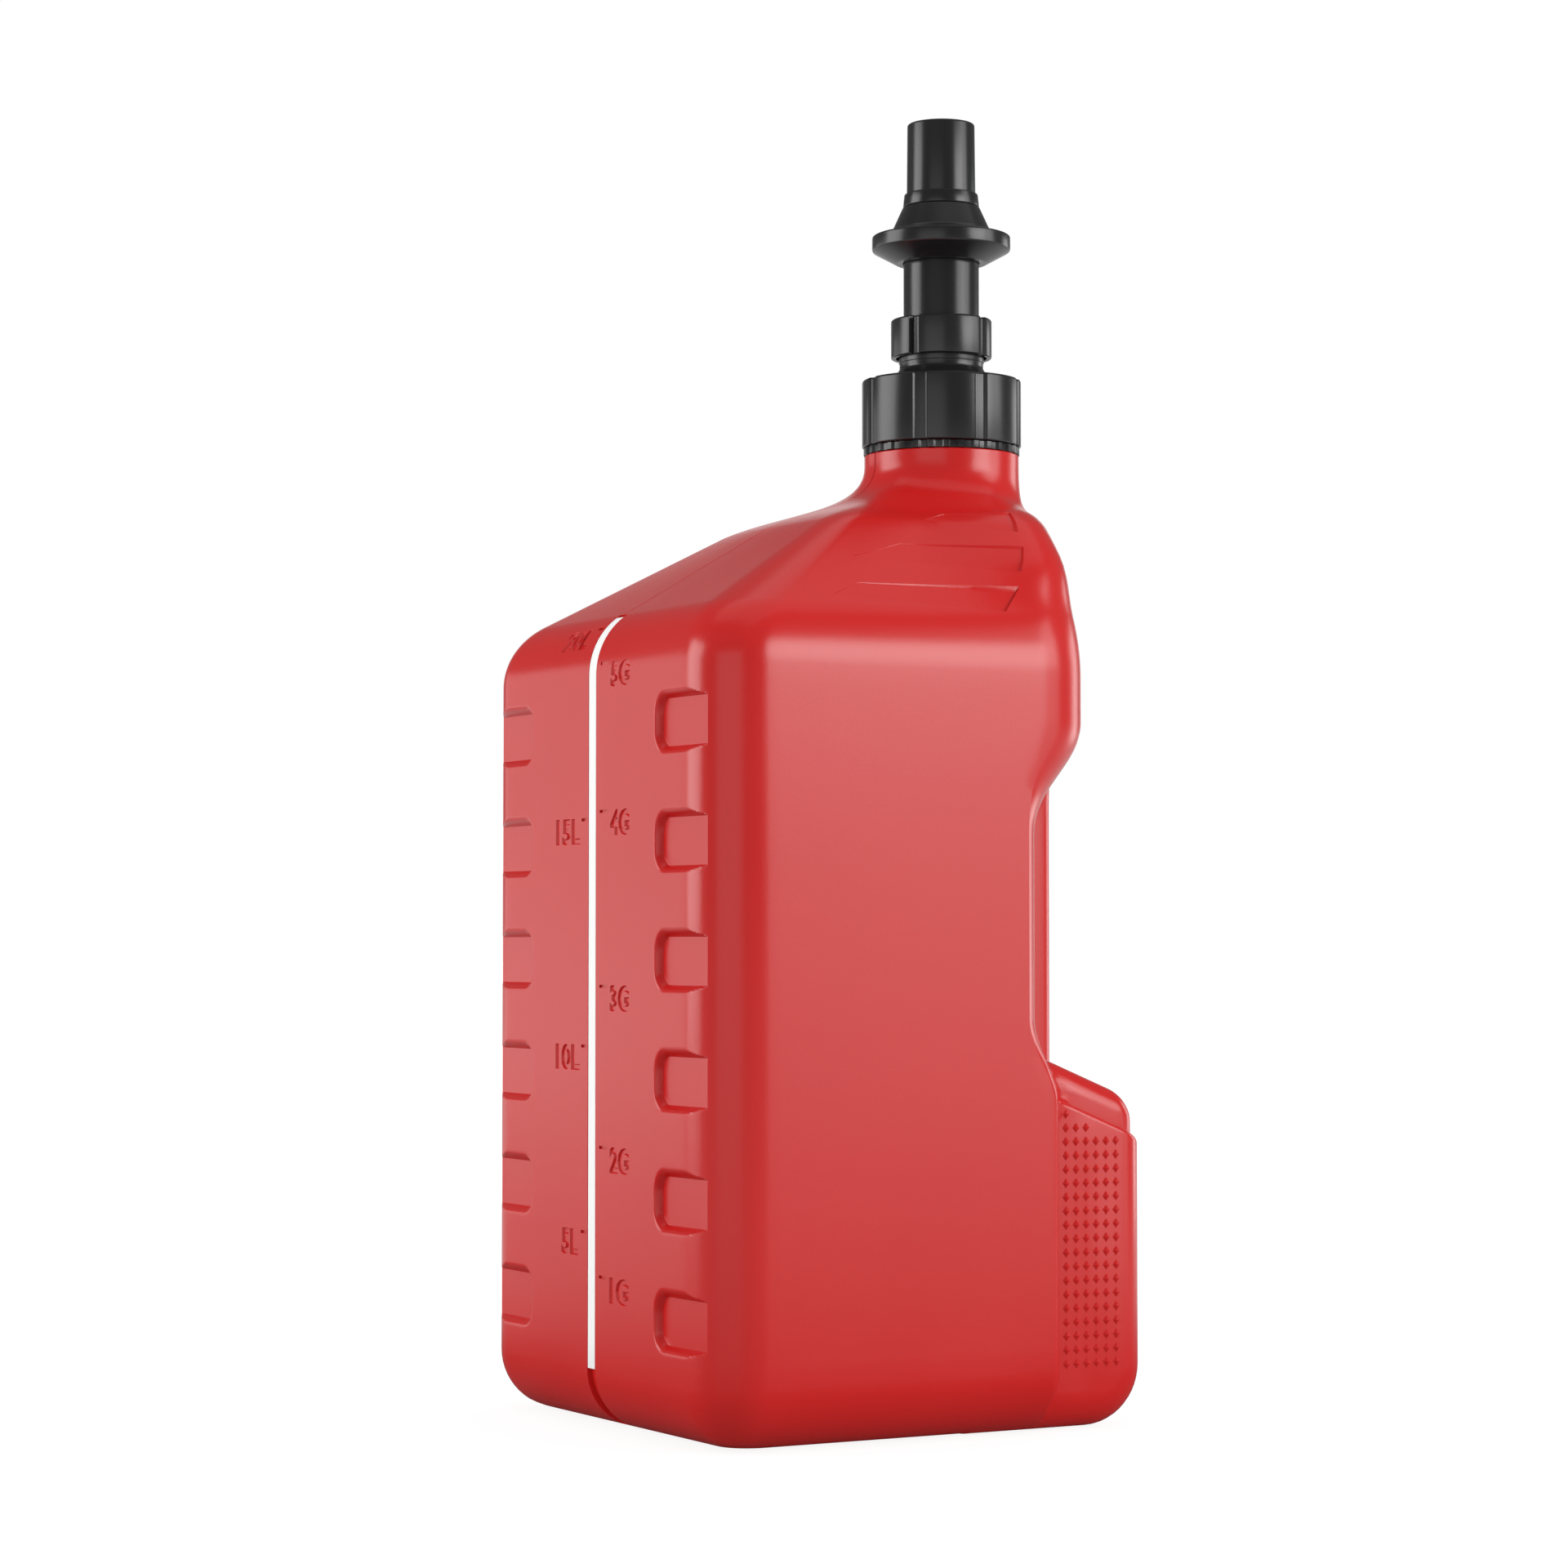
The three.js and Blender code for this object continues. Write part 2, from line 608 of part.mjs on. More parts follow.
/** All pocket cutters. */
function pockets(margin) {
  const cutters = [];
  for (let k = 0; k < POCKET_COUNT; k += 1) {
    for (const side of [1, -1]) cutters.push(pocket(POCKET_FIRST_Z + k * POCKET_PITCH, side, margin));
  }
  return cutters;
}

/** Band that follows the front face between two depths, over the shoulder and round the foot. */
function frontBand(outer, inner, topWrap, footWrap, width) {
  const footSteps = footWrap > 0 ? ARC_STEPS : 0;
  const footY = FRONT + FOOT_R;
  const topY = FRONT + SHOULDER_R;
  const edge = (depth) => [
    ...arc(footY, FOOT_R, FOOT_R - depth, Math.PI + footWrap, Math.PI, footSteps),
    ...arc(topY, SHOULDER_FOOT_Z, SHOULDER_R - depth, Math.PI, Math.PI - topWrap, SHOULDER_STEPS),
  ];
  const shape = new THREE.Shape([...edge(outer), ...edge(inner).reverse()]);
  return crosswise(shape, width / 2);
}

/** Groove that holds the sight strip and runs on below it round the foot edge. */
function sightGroove(margin) {
  const reach = STRIP_DEPTH + margin;
  const width = STRIP_WIDTH + 2 * SEAT_GAP + 2 * margin;
  const topWrap = SHOULDER_TURN - SEAT_GAP / SHOULDER_R;
  return frontBand(-FOOT_R, reach, topWrap, GROOVE_FOOT_WRAP, width);
}

/** Spot on the right shoulder above a place on the side panel, at a height. */
function shoulderSpot(back, z) {
  const profile = shoulderProfile();
  const upper = profile.findIndex((corner) => corner.z > z);
  const [low, high] = [profile[upper - 1], profile[upper]];
  const share = THREE.MathUtils.mapLinear(z, low.z, high.z, low.share, high.share);
  const past = Math.max(back - UPPER_PANEL_END, 0);
  const bend = UPPER_CORNER_R - Math.sqrt(UPPER_CORNER_R ** 2 - past ** 2);
  const edge = new THREE.Vector2(WIDTH / 2 - bend, FRONT + back);
  const spoke = edge.clone().sub(AXIS).setLength(NECK_R).add(AXIS);
  const spot = edge.clone().lerp(spoke, drawnIn(edge, share));
  return new THREE.Vector3(spot.x, spot.y, z);
}

/** Wedge cutter of one gill, flush at its front end and deepest at its rear end. */
function gill(i, side, margin) {
  const top = SHOULDER_Z + GILL_RISES[i];
  const rear = shoulderSpot(GILL_ENDS[i], top);
  const along = shoulderSpot(GILL_STARTS[i], top).sub(rear);
  const length = along.length();
  along.normalize();
  const middle = (GILL_STARTS[i] + GILL_ENDS[i]) / 2;
  const rise = shoulderSpot(middle, top + GILL_DEPTH).sub(shoulderSpot(middle, top));
  const outward = rise.clone().cross(along).normalize();
  const uphill = along.clone().cross(outward);
  const outline = new THREE.Shape([
    new THREE.Vector2(-margin, -GILL_DEPTH - margin),
    new THREE.Vector2(length, -margin),
    new THREE.Vector2(length, GILL_REACH),
    new THREE.Vector2(-margin, GILL_REACH),
  ]);
  const depth = GILL_HEIGHTS[i] + 2 * margin;
  const wedge = new THREE.ExtrudeGeometry(outline, { depth, bevelEnabled: false });
  wedge.translate(0, 0, margin - depth);
  wedge.applyMatrix4(new THREE.Matrix4().makeBasis(along, outward, uphill).setPosition(rear));
  wedge.scale(side, 1, 1);
  return solid(wedge);
}

/** All gill cutters, on both shoulders. */
function gills(margin) {
  return GILL_RISES.flatMap((_, i) => [gill(i, 1, margin), gill(i, -1, margin)]);
}

/** Neck with its screw finish, outside only. */
function neck() {
  return turned([
    [0, BLEND_Z], [NECK_R, BLEND_Z], [NECK_R, NECK_STEP_Z],
    [FINISH_R, NECK_STEP_Z], [FINISH_R, MOUTH_Z], [0, MOUTH_Z],
  ]);
}

/** Blow-moulded can: tank, heel, grip bar and neck in one hollow wall. */
function canShell() {
  let hollow = tank(WALL);
  for (const cutter of [...pockets(WALL), ...gills(WALL)]) hollow = hollow.subtract(cutter);
  hollow = hollow.subtract(sightGroove(WALL)).add(heel(WALL)).add(gripBar(WALL));
  hollow = hollow.add(disc(NECK_BORE_R, BLEND_Z, MOUTH_Z + WALL));
  let shell = tank(0).add(heel(0)).add(gripBar(0)).add(neck());
  for (const cutter of [...pockets(0), ...gills(0)]) shell = shell.subtract(cutter);
  return shell.subtract(sightGroove(0)).subtract(hollow);
}

/** Milky strip in the groove of the gauge face. */
function sightStrip() {
  return frontBand(0, STRIP_THICK, STRIP_WRAP, 0, STRIP_WIDTH);
}

/** Round outline with square flutes cut into its edge. */
function flutedOutline(radius, flutes, width, depth, turn, spans) {
  const points = [];
  const half = Math.asin(width / 2 / radius);
  for (let i = 0; i < flutes; i += 1) {
    const at = turn + (2 * Math.PI * i) / flutes;
    const next = at + (2 * Math.PI) / flutes;
    points.push(...arc(0, 0, radius - depth, at - half, at + half, FLUTE_SPANS));
    points.push(...arc(0, 0, radius, at + half, next - half, spans));
  }
  return new THREE.Shape(points);
}

/** Castellated band that stays on the neck under the ring. */
function lockBand() {
  const width = (Math.PI * BAND_R) / BAND_SLOTS;
  const outline = flutedOutline(BAND_R, BAND_SLOTS, width, BAND_SLOT_DEPTH, 0, 1);
  const top = BAND_Z + BAND_HEIGHT;
  return prism(outline, BAND_Z, top).subtract(disc(FINISH_R + SEAT_GAP, BAND_Z - CUT_PAST, top + CUT_PAST));
}

/** Screw ring with wide lobes, its bore and its inward lip. */
function capRing() {
  const outline = flutedOutline(
    RING_R, RING_FLUTES, RING_FLUTE_WIDTH, RING_FLUTE_DEPTH, RING_TURN, LOBE_SPANS);
  return prism(outline, RING_Z, RING_TOP_Z)
    .subtract(disc(RING_BORE_R, RING_Z - CUT_PAST, RING_LIP_Z))
    .subtract(disc(RING_LIP_R, RING_LIP_Z - CUT_PAST, RING_TOP_Z + CUT_PAST));
}

/** Flat gasket on the mouth of the neck. */
function neckGasket() {
  return ring(FINISH_R - SEAT_GAP - GASKET_WIDTH, FINISH_R - SEAT_GAP, GASKET_Z, GASKET_Z + GASKET_THICK);
}

/** Flanged base of the spout, with the bore and the well that guide the slide tube. */
function spoutBase() {
  return turned([
    [BASE_WELL_R, BASE_Z], [BASE_R, BASE_Z], [BASE_R, BASE_FLANGE_Z], [BASE_DOME_R, BASE_FLANGE_Z],
    [BASE_DOME_R, RING_TOP_Z], [BASE_NECK_R, BASE_DOME_Z], [BASE_NECK_R, BASE_COLLAR_Z],
    [BASE_COLLAR_R, BASE_COLLAR_Z], [BASE_COLLAR_R, BASE_TOP_Z], [BASE_BORE_R, BASE_TOP_Z],
    [BASE_BORE_R, BASE_STOP_Z], [BASE_WELL_R, BASE_STOP_Z],
  ]);
}

/** Gland nut that presses the seal round the slide tube. */
function glandNut() {
  const outline = flutedOutline(
    NUT_R, NUT_LOBES, NUT_FLUTE_WIDTH, NUT_FLUTE_DEPTH, NUT_TURN, NUT_LOBE_SPANS);
  return prism(outline, NUT_Z, NUT_TOP_Z)
    .subtract(disc(BASE_COLLAR_R + RUNNING_GAP, NUT_Z - CUT_PAST, NUT_PLATE_Z))
    .subtract(disc(BASE_BORE_R, NUT_PLATE_Z - CUT_PAST, NUT_TOP_Z + CUT_PAST));
}

/** Slip washer between the nut and the gland seal. */
function slipWasher() {
  return ring(BASE_BORE_R, BASE_COLLAR_R, SLIP_Z, SLIP_Z + SLIP_THICK);
}

/** Gland seal round the slide tube. */
function glandSeal() {
  return ring(BASE_BORE_R, BASE_COLLAR_R, GLAND_SEAL_Z, GLAND_SEAL_Z + GLAND_SEAL_THICK);
}

/** Slide tube with the foot that stops it under the spout base. */
function slideTube() {
  return turned([
    [TUBE_BORE_R, TUBE_Z], [TUBE_FOOT_R, TUBE_Z], [TUBE_FOOT_R, TUBE_Z + TUBE_FOOT],
    [TUBE_R, TUBE_Z + TUBE_FOOT], [TUBE_R, TUBE_TOP_Z], [TUBE_BORE_R, TUBE_TOP_Z],
  ]);
}

/** Nozzle tube with the valve seat near its tip. */
function nozzleTube() {
  const tipBore = VALVE_R + TIP_GAP;
  return turned([
    [NOZZLE_BORE_R, NOZZLE_FOOT_Z], [NOZZLE_R, NOZZLE_FOOT_Z],
    [NOZZLE_R, NOZZLE_TOP_Z - NOZZLE_TIP_ROUND], [NOZZLE_R - NOZZLE_TIP_ROUND, NOZZLE_TOP_Z],
    [tipBore, NOZZLE_TOP_Z], [tipBore, SEAT_TOP_Z], [SEAT_BORE_R, SEAT_TOP_Z],
    [SEAT_BORE_R, SEAT_Z], [NOZZLE_BORE_R, SEAT_Z],
  ]);
}

/** Cone and flange that stop the nozzle against a filler neck. */
function stopFlange() {
  const upperBore = NOZZLE_R + SEAT_GAP;
  return turned([
    [FLANGE_BORE_R, FLANGE_LOW_Z], [FLANGE_BORE_R + FLANGE_LIP, FLANGE_LOW_Z], [FLANGE_R, FLANGE_RIM_Z],
    [FLANGE_R, FLANGE_RIM_TOP_Z], [CONE_FOOT_R, CONE_FOOT_Z], [CONE_TOP_R, CONE_TOP_Z],
    [upperBore, CONE_TOP_Z], [upperBore, FLANGE_STEP_Z], [FLANGE_BORE_R, FLANGE_STEP_Z],
  ]);
}

/** Collar that locks the cone on the nozzle. */
function collarRing() {
  return ring(NOZZLE_R + SEAT_GAP, COLLAR_R, COLLAR_Z, COLLAR_Z + COLLAR_HEIGHT);
}

/** Cage that hangs in the neck and carries the valve stem below the slide tube. */
function stemCage() {
  let cage = ring(CAGE_R - CAGE_RIM, CAGE_R, CAGE_TOP_Z - CAGE_RIM_THICK, CAGE_TOP_Z)
    .add(disc(CAGE_HUB_R, CAGE_FLOOR_Z, CAGE_FLOOR_TOP));
  const legInner = CAGE_R - CAGE_RIM;
  const legOuter = legInner + CAGE_LEG;
  const legTop = CAGE_TOP_Z - CAGE_RIM_THICK / 2;
  for (let i = 0; i < CAGE_LEGS; i += 1) {
    const leg = new THREE.BoxGeometry(CAGE_LEG, CAGE_LEG_WIDTH, legTop - CAGE_FLOOR_Z);
    leg.translate((legInner + legOuter) / 2, 0, (legTop + CAGE_FLOOR_Z) / 2);
    const arm = new THREE.BoxGeometry(legOuter, CAGE_LEG_WIDTH, CAGE_FLOOR);
    arm.translate(legOuter / 2, 0, CAGE_FLOOR_Z + CAGE_FLOOR / 2);
    for (const bar of [leg, arm]) {
      bar.rotateZ((2 * Math.PI * i) / CAGE_LEGS);
      bar.translate(AXIS.x, AXIS.y, 0);
      cage = cage.add(solid(bar));
    }
  }
  return cage.subtract(disc(STEM_R + SEAT_GAP, CAGE_FLOOR_Z - CUT_PAST, CAGE_FLOOR_TOP + CUT_PAST));
}

/** Valve stem with the collar that stands on the cage. */
function valveStem() {
  return turned([
    [0, STEM_NUT_Z], [STEM_R, STEM_NUT_Z], [STEM_R, STEM_COLLAR_Z], [STEM_COLLAR_R, STEM_COLLAR_Z],
    [STEM_COLLAR_R, STEM_COLLAR_Z + STEM_COLLAR], [STEM_R, STEM_COLLAR_Z + STEM_COLLAR],
    [STEM_R, VALVE_Z - SEAT_GAP], [0, VALVE_Z - SEAT_GAP],
  ], ROUND / 2);
}

/** Hexagon nut under the cage. */
function stemNut() {
  const outline = new THREE.Shape(arc(0, 0, STEM_NUT_R, 0, 2 * Math.PI, HEX_SIDES).slice(0, -1));
  const top = STEM_NUT_Z + STEM_NUT;
  const bore = disc(STEM_R + SEAT_GAP, STEM_NUT_Z - CUT_PAST, top + CUT_PAST);
  return prism(outline, STEM_NUT_Z, top).subtract(bore);
}

/** Valve head above the seat. */
function valveHead() {
  return turned([[0, VALVE_Z], [VALVE_R, VALVE_Z], [VALVE_R, VALVE_Z + VALVE_THICK / 2],
    [SEAT_BORE_R, VALVE_Z + VALVE_THICK], [0, VALVE_Z + VALVE_THICK]]);
}

/** Seal ring between the valve head and the seat. */
function valveSeal() {
  return ring(SEAT_BORE_R + SEAT_GAP, SEAT_BORE_R + SEAT_GAP + SEAL_WIDTH, SEAL_Z, SEAL_Z + SEAL_THICK);
}

/** Washer on the cage arms under the spring. */
function springSeat() {
  const inner = SPRING_R - SPRING_SEAT_WIDTH / 2;
  return ring(inner, inner + SPRING_SEAT_WIDTH, SPRING_SEAT_Z, SPRING_SEAT_Z + SPRING_SEAT_THICK);
}

/** Centre line of the return spring. */
class Helix extends THREE.Curve {
  getPoint(t, target = new THREE.Vector3()) {
    const angle = 2 * Math.PI * SPRING_TURNS * t;
    const low = SPRING_Z + SPRING_WIRE / 2;
    const high = SPRING_TOP_Z - SPRING_WIRE / 2;
    return target.set(
      AXIS.x + SPRING_R * Math.cos(angle), AXIS.y + SPRING_R * Math.sin(angle),
      THREE.MathUtils.lerp(low, high, t));
  }
}

/** Return spring, one unbroken helical wire. */
function returnSpring() {
  const section = new THREE.Shape(arc(0, 0, SPRING_WIRE / 2, 0, 2 * Math.PI, SPRING_SIDES).slice(0, -1));
  const geometry = new THREE.ExtrudeGeometry(section, {
    extrudePath: new Helix(), steps: SPRING_STEPS * SPRING_TURNS, bevelEnabled: false,
  });
  const pitch = (SPRING_TOP_Z - SPRING_Z - SPRING_WIRE) / SPRING_TURNS;
  console.log(`return spring, least gap between turns ${(pitch - SPRING_WIRE).toFixed(2)} mm`);
  return solid(geometry);
}

const fuelCan = new THREE.Group();
fuelCan.add(
  piece('can_shell', canShell(), RED),
  piece('sight_strip', sightStrip(), MILKY),
  piece('lock_band', lockBand(), BLACK),
  piece('cap_ring', capRing(), BLACK),
  piece('neck_gasket', neckGasket(), RUBBER),
  piece('spout_base', spoutBase(), BLACK),
  piece('gland_nut', glandNut(), BLACK),
  piece('slip_washer', slipWasher(), MILKY),
  piece('gland_seal', glandSeal(), RUBBER),
  piece('stem_cage', stemCage(), BLACK),
  piece('stem_nut', stemNut(), STEEL),
  piece('valve_stem', valveStem(), STEEL),
  piece('valve_head', valveHead(), BLACK),
  piece('valve_seal', valveSeal(), RUBBER),
  piece('spring_seat', springSeat(), STEEL),
  piece('return_spring', returnSpring(), STEEL),
  piece('slide_tube', slideTube(), BLACK),
  piece('nozzle_tube', nozzleTube(), BLACK),
  piece('stop_flange', stopFlange(), BLACK),
  piece('collar_ring', collarRing(), BLACK),
);

export default fuelCan;
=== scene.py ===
"""Looks of an upright moulded fuel can with a sprung quick-fill nozzle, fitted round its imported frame."""
import json
import logging
import math
from dataclasses import dataclass, field
from enum import Enum, auto
from typing import Callable, NamedTuple, Sequence

import bmesh
import bpy
from bmesh.types import BMEdge, BMesh, BMFace, BMVert
from bpy.types import Material, Node, NodeSocket, NodeTree, Object
from mathutils import Matrix, Vector
from mathutils.kdtree import KDTree


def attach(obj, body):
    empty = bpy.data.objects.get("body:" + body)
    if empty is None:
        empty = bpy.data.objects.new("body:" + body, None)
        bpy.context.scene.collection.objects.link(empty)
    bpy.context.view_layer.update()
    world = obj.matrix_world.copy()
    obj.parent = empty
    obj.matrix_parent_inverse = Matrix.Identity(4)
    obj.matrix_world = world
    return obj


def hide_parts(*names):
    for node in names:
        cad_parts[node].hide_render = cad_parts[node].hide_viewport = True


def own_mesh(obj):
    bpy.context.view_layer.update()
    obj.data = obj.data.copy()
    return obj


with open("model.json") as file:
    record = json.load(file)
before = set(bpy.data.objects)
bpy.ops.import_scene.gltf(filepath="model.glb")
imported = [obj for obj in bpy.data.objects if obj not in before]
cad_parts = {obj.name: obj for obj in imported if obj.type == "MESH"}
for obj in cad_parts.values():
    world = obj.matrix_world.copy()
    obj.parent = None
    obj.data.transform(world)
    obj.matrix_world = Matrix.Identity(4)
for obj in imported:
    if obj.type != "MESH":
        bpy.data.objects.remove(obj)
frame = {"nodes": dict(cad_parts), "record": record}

LOG = logging.getLogger("fuel_can")
MM = 0.001
WELD = 1e-4
FULL_TURN = 2.0 * math.pi
TURN_STEPS = 120
AXIS = {"cent": (0.0, 0.0, 0.0), "axis": (0.0, 0.0, 1.0)}
NECK_Y = 76.0
FRONT_Y = -125.0
EDGE_Z = 367.215
EDGE_ROUND = 36.0

Profile = Sequence[tuple[float, float, float]]


class Slot(Enum):
    """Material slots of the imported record."""

    RED = "red_plastic"
    MILKY = "milky_plastic"
    BLACK = "black_plastic"
    RUBBER = "seal_rubber"
    STEEL = "steel"


class Piece(NamedTuple):
    """Finished mesh in mm, with the body that carries it, its slot, its frame node and its crease angle."""

    name: str
    body: str
    slot: Slot
    node: str
    bm: BMesh
    crease: float = 40.0


def ease(t: float) -> float:
    """Smooth step from 0 to 1."""
    t = min(max(t, 0.0), 1.0)
    return t * t * (3.0 - 2.0 * t)


def mix(a: float, b: float, t: float) -> float:
    """Straight blend of two values."""
    return a + (b - a) * t


def spread(low: float, high: float, spans: int) -> list[float]:
    """Evenly spaced values from low to high, both ends included."""
    return [mix(low, high, i / spans) for i in range(spans + 1)]


def whole(bm: BMesh) -> list:
    """All vertices, edges and faces of a mesh."""
    return bm.verts[:] + bm.edges[:] + bm.faces[:]


def weld(bm: BMesh) -> BMesh:
    """Merges doubled vertices, turns all faces outwards and gives the mesh back."""
    bmesh.ops.remove_doubles(bm, verts=bm.verts, dist=WELD)
    bmesh.ops.recalc_face_normals(bm, faces=bm.faces)
    return bm


def on_axis(bm: BMesh) -> BMesh:
    """Welds a mesh that was turned about the origin and stands it on the neck's axis."""
    weld(bm)
    bmesh.ops.translate(bm, vec=(0.0, NECK_Y, 0.0), verts=bm.verts)
    return bm


def mirror_over(bm: BMesh, merge: float = WELD) -> None:
    """Adds the mirror image of a mesh across the middle plane."""
    bmesh.ops.mirror(bm, geom=whole(bm), matrix=Matrix(), merge_dist=merge, axis="X")


def round_off(bm: BMesh, geom: Sequence, offset: float, segments: int, affect: str = "EDGES",
              clamp: bool = False) -> None:
    """Rounds edges or vertices by an offset, and with clamp only until the roundings meet."""
    bmesh.ops.bevel(bm, geom=geom, offset=offset, offset_type="OFFSET", segments=segments, profile=0.5,
                    affect=affect, clamp_overlap=clamp, material=-1)


def raw_object(bm: BMesh, name: str) -> Object:
    """Puts a bmesh into a linked object as it is, and frees it."""
    mesh = bpy.data.meshes.new(name)
    bm.to_mesh(mesh)
    bm.free()
    obj = bpy.data.objects.new(name, mesh)
    bpy.context.scene.collection.objects.link(obj)
    return obj


def loaded(mesh: bpy.types.Mesh) -> BMesh:
    """New bmesh with the contents of a mesh."""
    bm = bmesh.new()
    bm.from_mesh(mesh)
    return bm


def gather(parts: Sequence[BMesh]) -> BMesh:
    """Joins meshes into one and frees them."""
    joined = bmesh.new()
    for bm in parts:
        mesh = bpy.data.meshes.new("part")
        bm.to_mesh(mesh)
        bm.free()
        joined.from_mesh(mesh)
        bpy.data.meshes.remove(mesh)
    return joined


def dress(piece: Piece, finishes: dict[Slot, Material]) -> Object:
    """Scales a piece to metres, smooths it, gives it its finish and its body, and hides the frame node that
    it stands for.

    Args:
        piece: Finished piece. Its mesh is freed.
        finishes: Material of each record slot.

    Returns:
        The dressed object, unturned and at the origin.
    """
    bmesh.ops.scale(piece.bm, vec=(MM, MM, MM), verts=piece.bm.verts)
    obj = raw_object(piece.bm, piece.name)
    obj.data.shade_smooth()
    obj.data.set_sharp_from_angle(angle=math.radians(piece.crease))
    obj.data.materials.append(finishes[piece.slot])
    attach(obj, piece.body)
    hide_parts(piece.node)
    LOG.info("%s on %s, %d faces", obj.name, piece.body, len(obj.data.polygons))
    return obj


def carve(target: Object, tool: Object, operation: str, crossing: bool = False) -> None:
    """Joins a tool to a target or cuts it away, and removes the tool.

    Args:
        target: Closed object that keeps the result.
        tool: Closed object that is used up.
        operation: UNION or DIFFERENCE.
        crossing: Whether the tool may cross itself.
    """
    step = target.modifiers.new("carve", "BOOLEAN")
    step.object = tool
    step.operation = operation
    step.solver = "EXACT"
    step.use_self = crossing
    shaped = target.evaluated_get(bpy.context.evaluated_depsgraph_get())
    mesh = bpy.data.meshes.new_from_object(shaped)
    target.modifiers.clear()
    target.data = mesh
    bpy.data.objects.remove(tool)


def turned(profile: Profile, steps: int = TURN_STEPS, closed: bool = True) -> BMesh:
    """Turns a profile with rounded corners about the neck's axis.

    Args:
        profile: Radius, height and rounding of each corner.
        steps: Steps of the full turn.
        closed: Whether the last corner joins the first. An open profile starts and ends on the axis.

    Returns:
        The turned mesh, standing on the neck's axis.
    """
    bm = bmesh.new()
    corners = [bm.verts.new((r, 0.0, z)) for r, z, _ in profile]
    for a, b in zip(corners, corners[1:] + corners[:1] if closed else corners[1:]):
        bm.edges.new((a, b))
    roundings = [rounding for _, _, rounding in profile]
    for size in sorted({rounding for rounding in roundings if rounding > 0.0}):
        chosen = [v for v, rounding in zip(corners, roundings) if rounding == size]
        round_off(bm, chosen, size, 4, "VERTICES", clamp=True)
    bmesh.ops.spin(bm, geom=bm.verts[:] + bm.edges[:], angle=FULL_TURN, steps=steps, use_merge=True, **AXIS)
    return on_axis(bm)


def helix(section: Sequence[tuple[float, float]], pitch: float, turns: float, steps: int) -> BMesh:
    """Winds a closed section into a helix about the neck's axis.

    Args:
        section: Radius and height of each corner of the section at its start.
        pitch: Rise of one turn.
        turns: Number of turns.
        steps: Steps of one turn.

    Returns:
        The wound mesh with closed ends.
    """
    bm = bmesh.new()
    first = bm.faces.new([bm.verts.new((r, 0.0, z)) for r, z in section])
    bmesh.ops.spin(bm, geom=[first], dvec=(0.0, 0.0, pitch / steps), angle=FULL_TURN * turns,
                   steps=round(turns * steps), **AXIS)
    return on_axis(bm)


@dataclass(frozen=True)
class Flutes:
    """Upright flutes pressed into the outside of a turned piece.

    They lie beyond the radius called inside, the width is measured at the radius, the walls run out over
    the width called soft, and the turn is the angle of the first flute from +X.
    """

    count: int
    inside: float
    radius: float
    width: float
    depth: float
    soft: float
    turn: float = 0.0

    def press(self, bm: BMesh) -> BMesh:
        """Presses the flutes into a mesh on the neck's axis and gives it back."""
        pitch = 2.0 * math.pi / self.count
        for v in bm.verts:
            arm = Vector((v.co.x, v.co.y - NECK_Y))
            if arm.length < self.inside:
                continue
            off = (math.atan2(arm.y, arm.x) - self.turn + pitch / 2.0) % pitch - pitch / 2.0
            past = abs(off) * self.radius - self.width / 2.0
            arm *= 1.0 - self.depth * (1.0 - ease(past / self.soft + 0.5)) / arm.length
            v.co.x, v.co.y = arm.x, arm.y + NECK_Y
        return bm


class Zone(Enum):
    """Stretches of the tank's level outline, from the middle of the front to the middle of the back."""

    FRONT = auto()
    CORNER = auto()
    SIDE = auto()
    REAR = auto()
    BOW = auto()


class Column(NamedTuple):
    """Place along the tank's outline: its stretch and where on it."""

    zone: Zone
    at: float


MIDDLE = (Column(Zone.FRONT, 0.0), Column(Zone.BOW, 1.0))


@dataclass
class Level:
    """One level ring of the tank's wall.

    The ring is the outline at a height, drawn in by an inset and then by a share towards a circle.
    """

    outline: float
    z: float
    inset: float = 0.0
    share: float = 0.0
    radius: float = 0.0
    centre: float = NECK_Y
    grooved: bool = False
    parted: bool = False


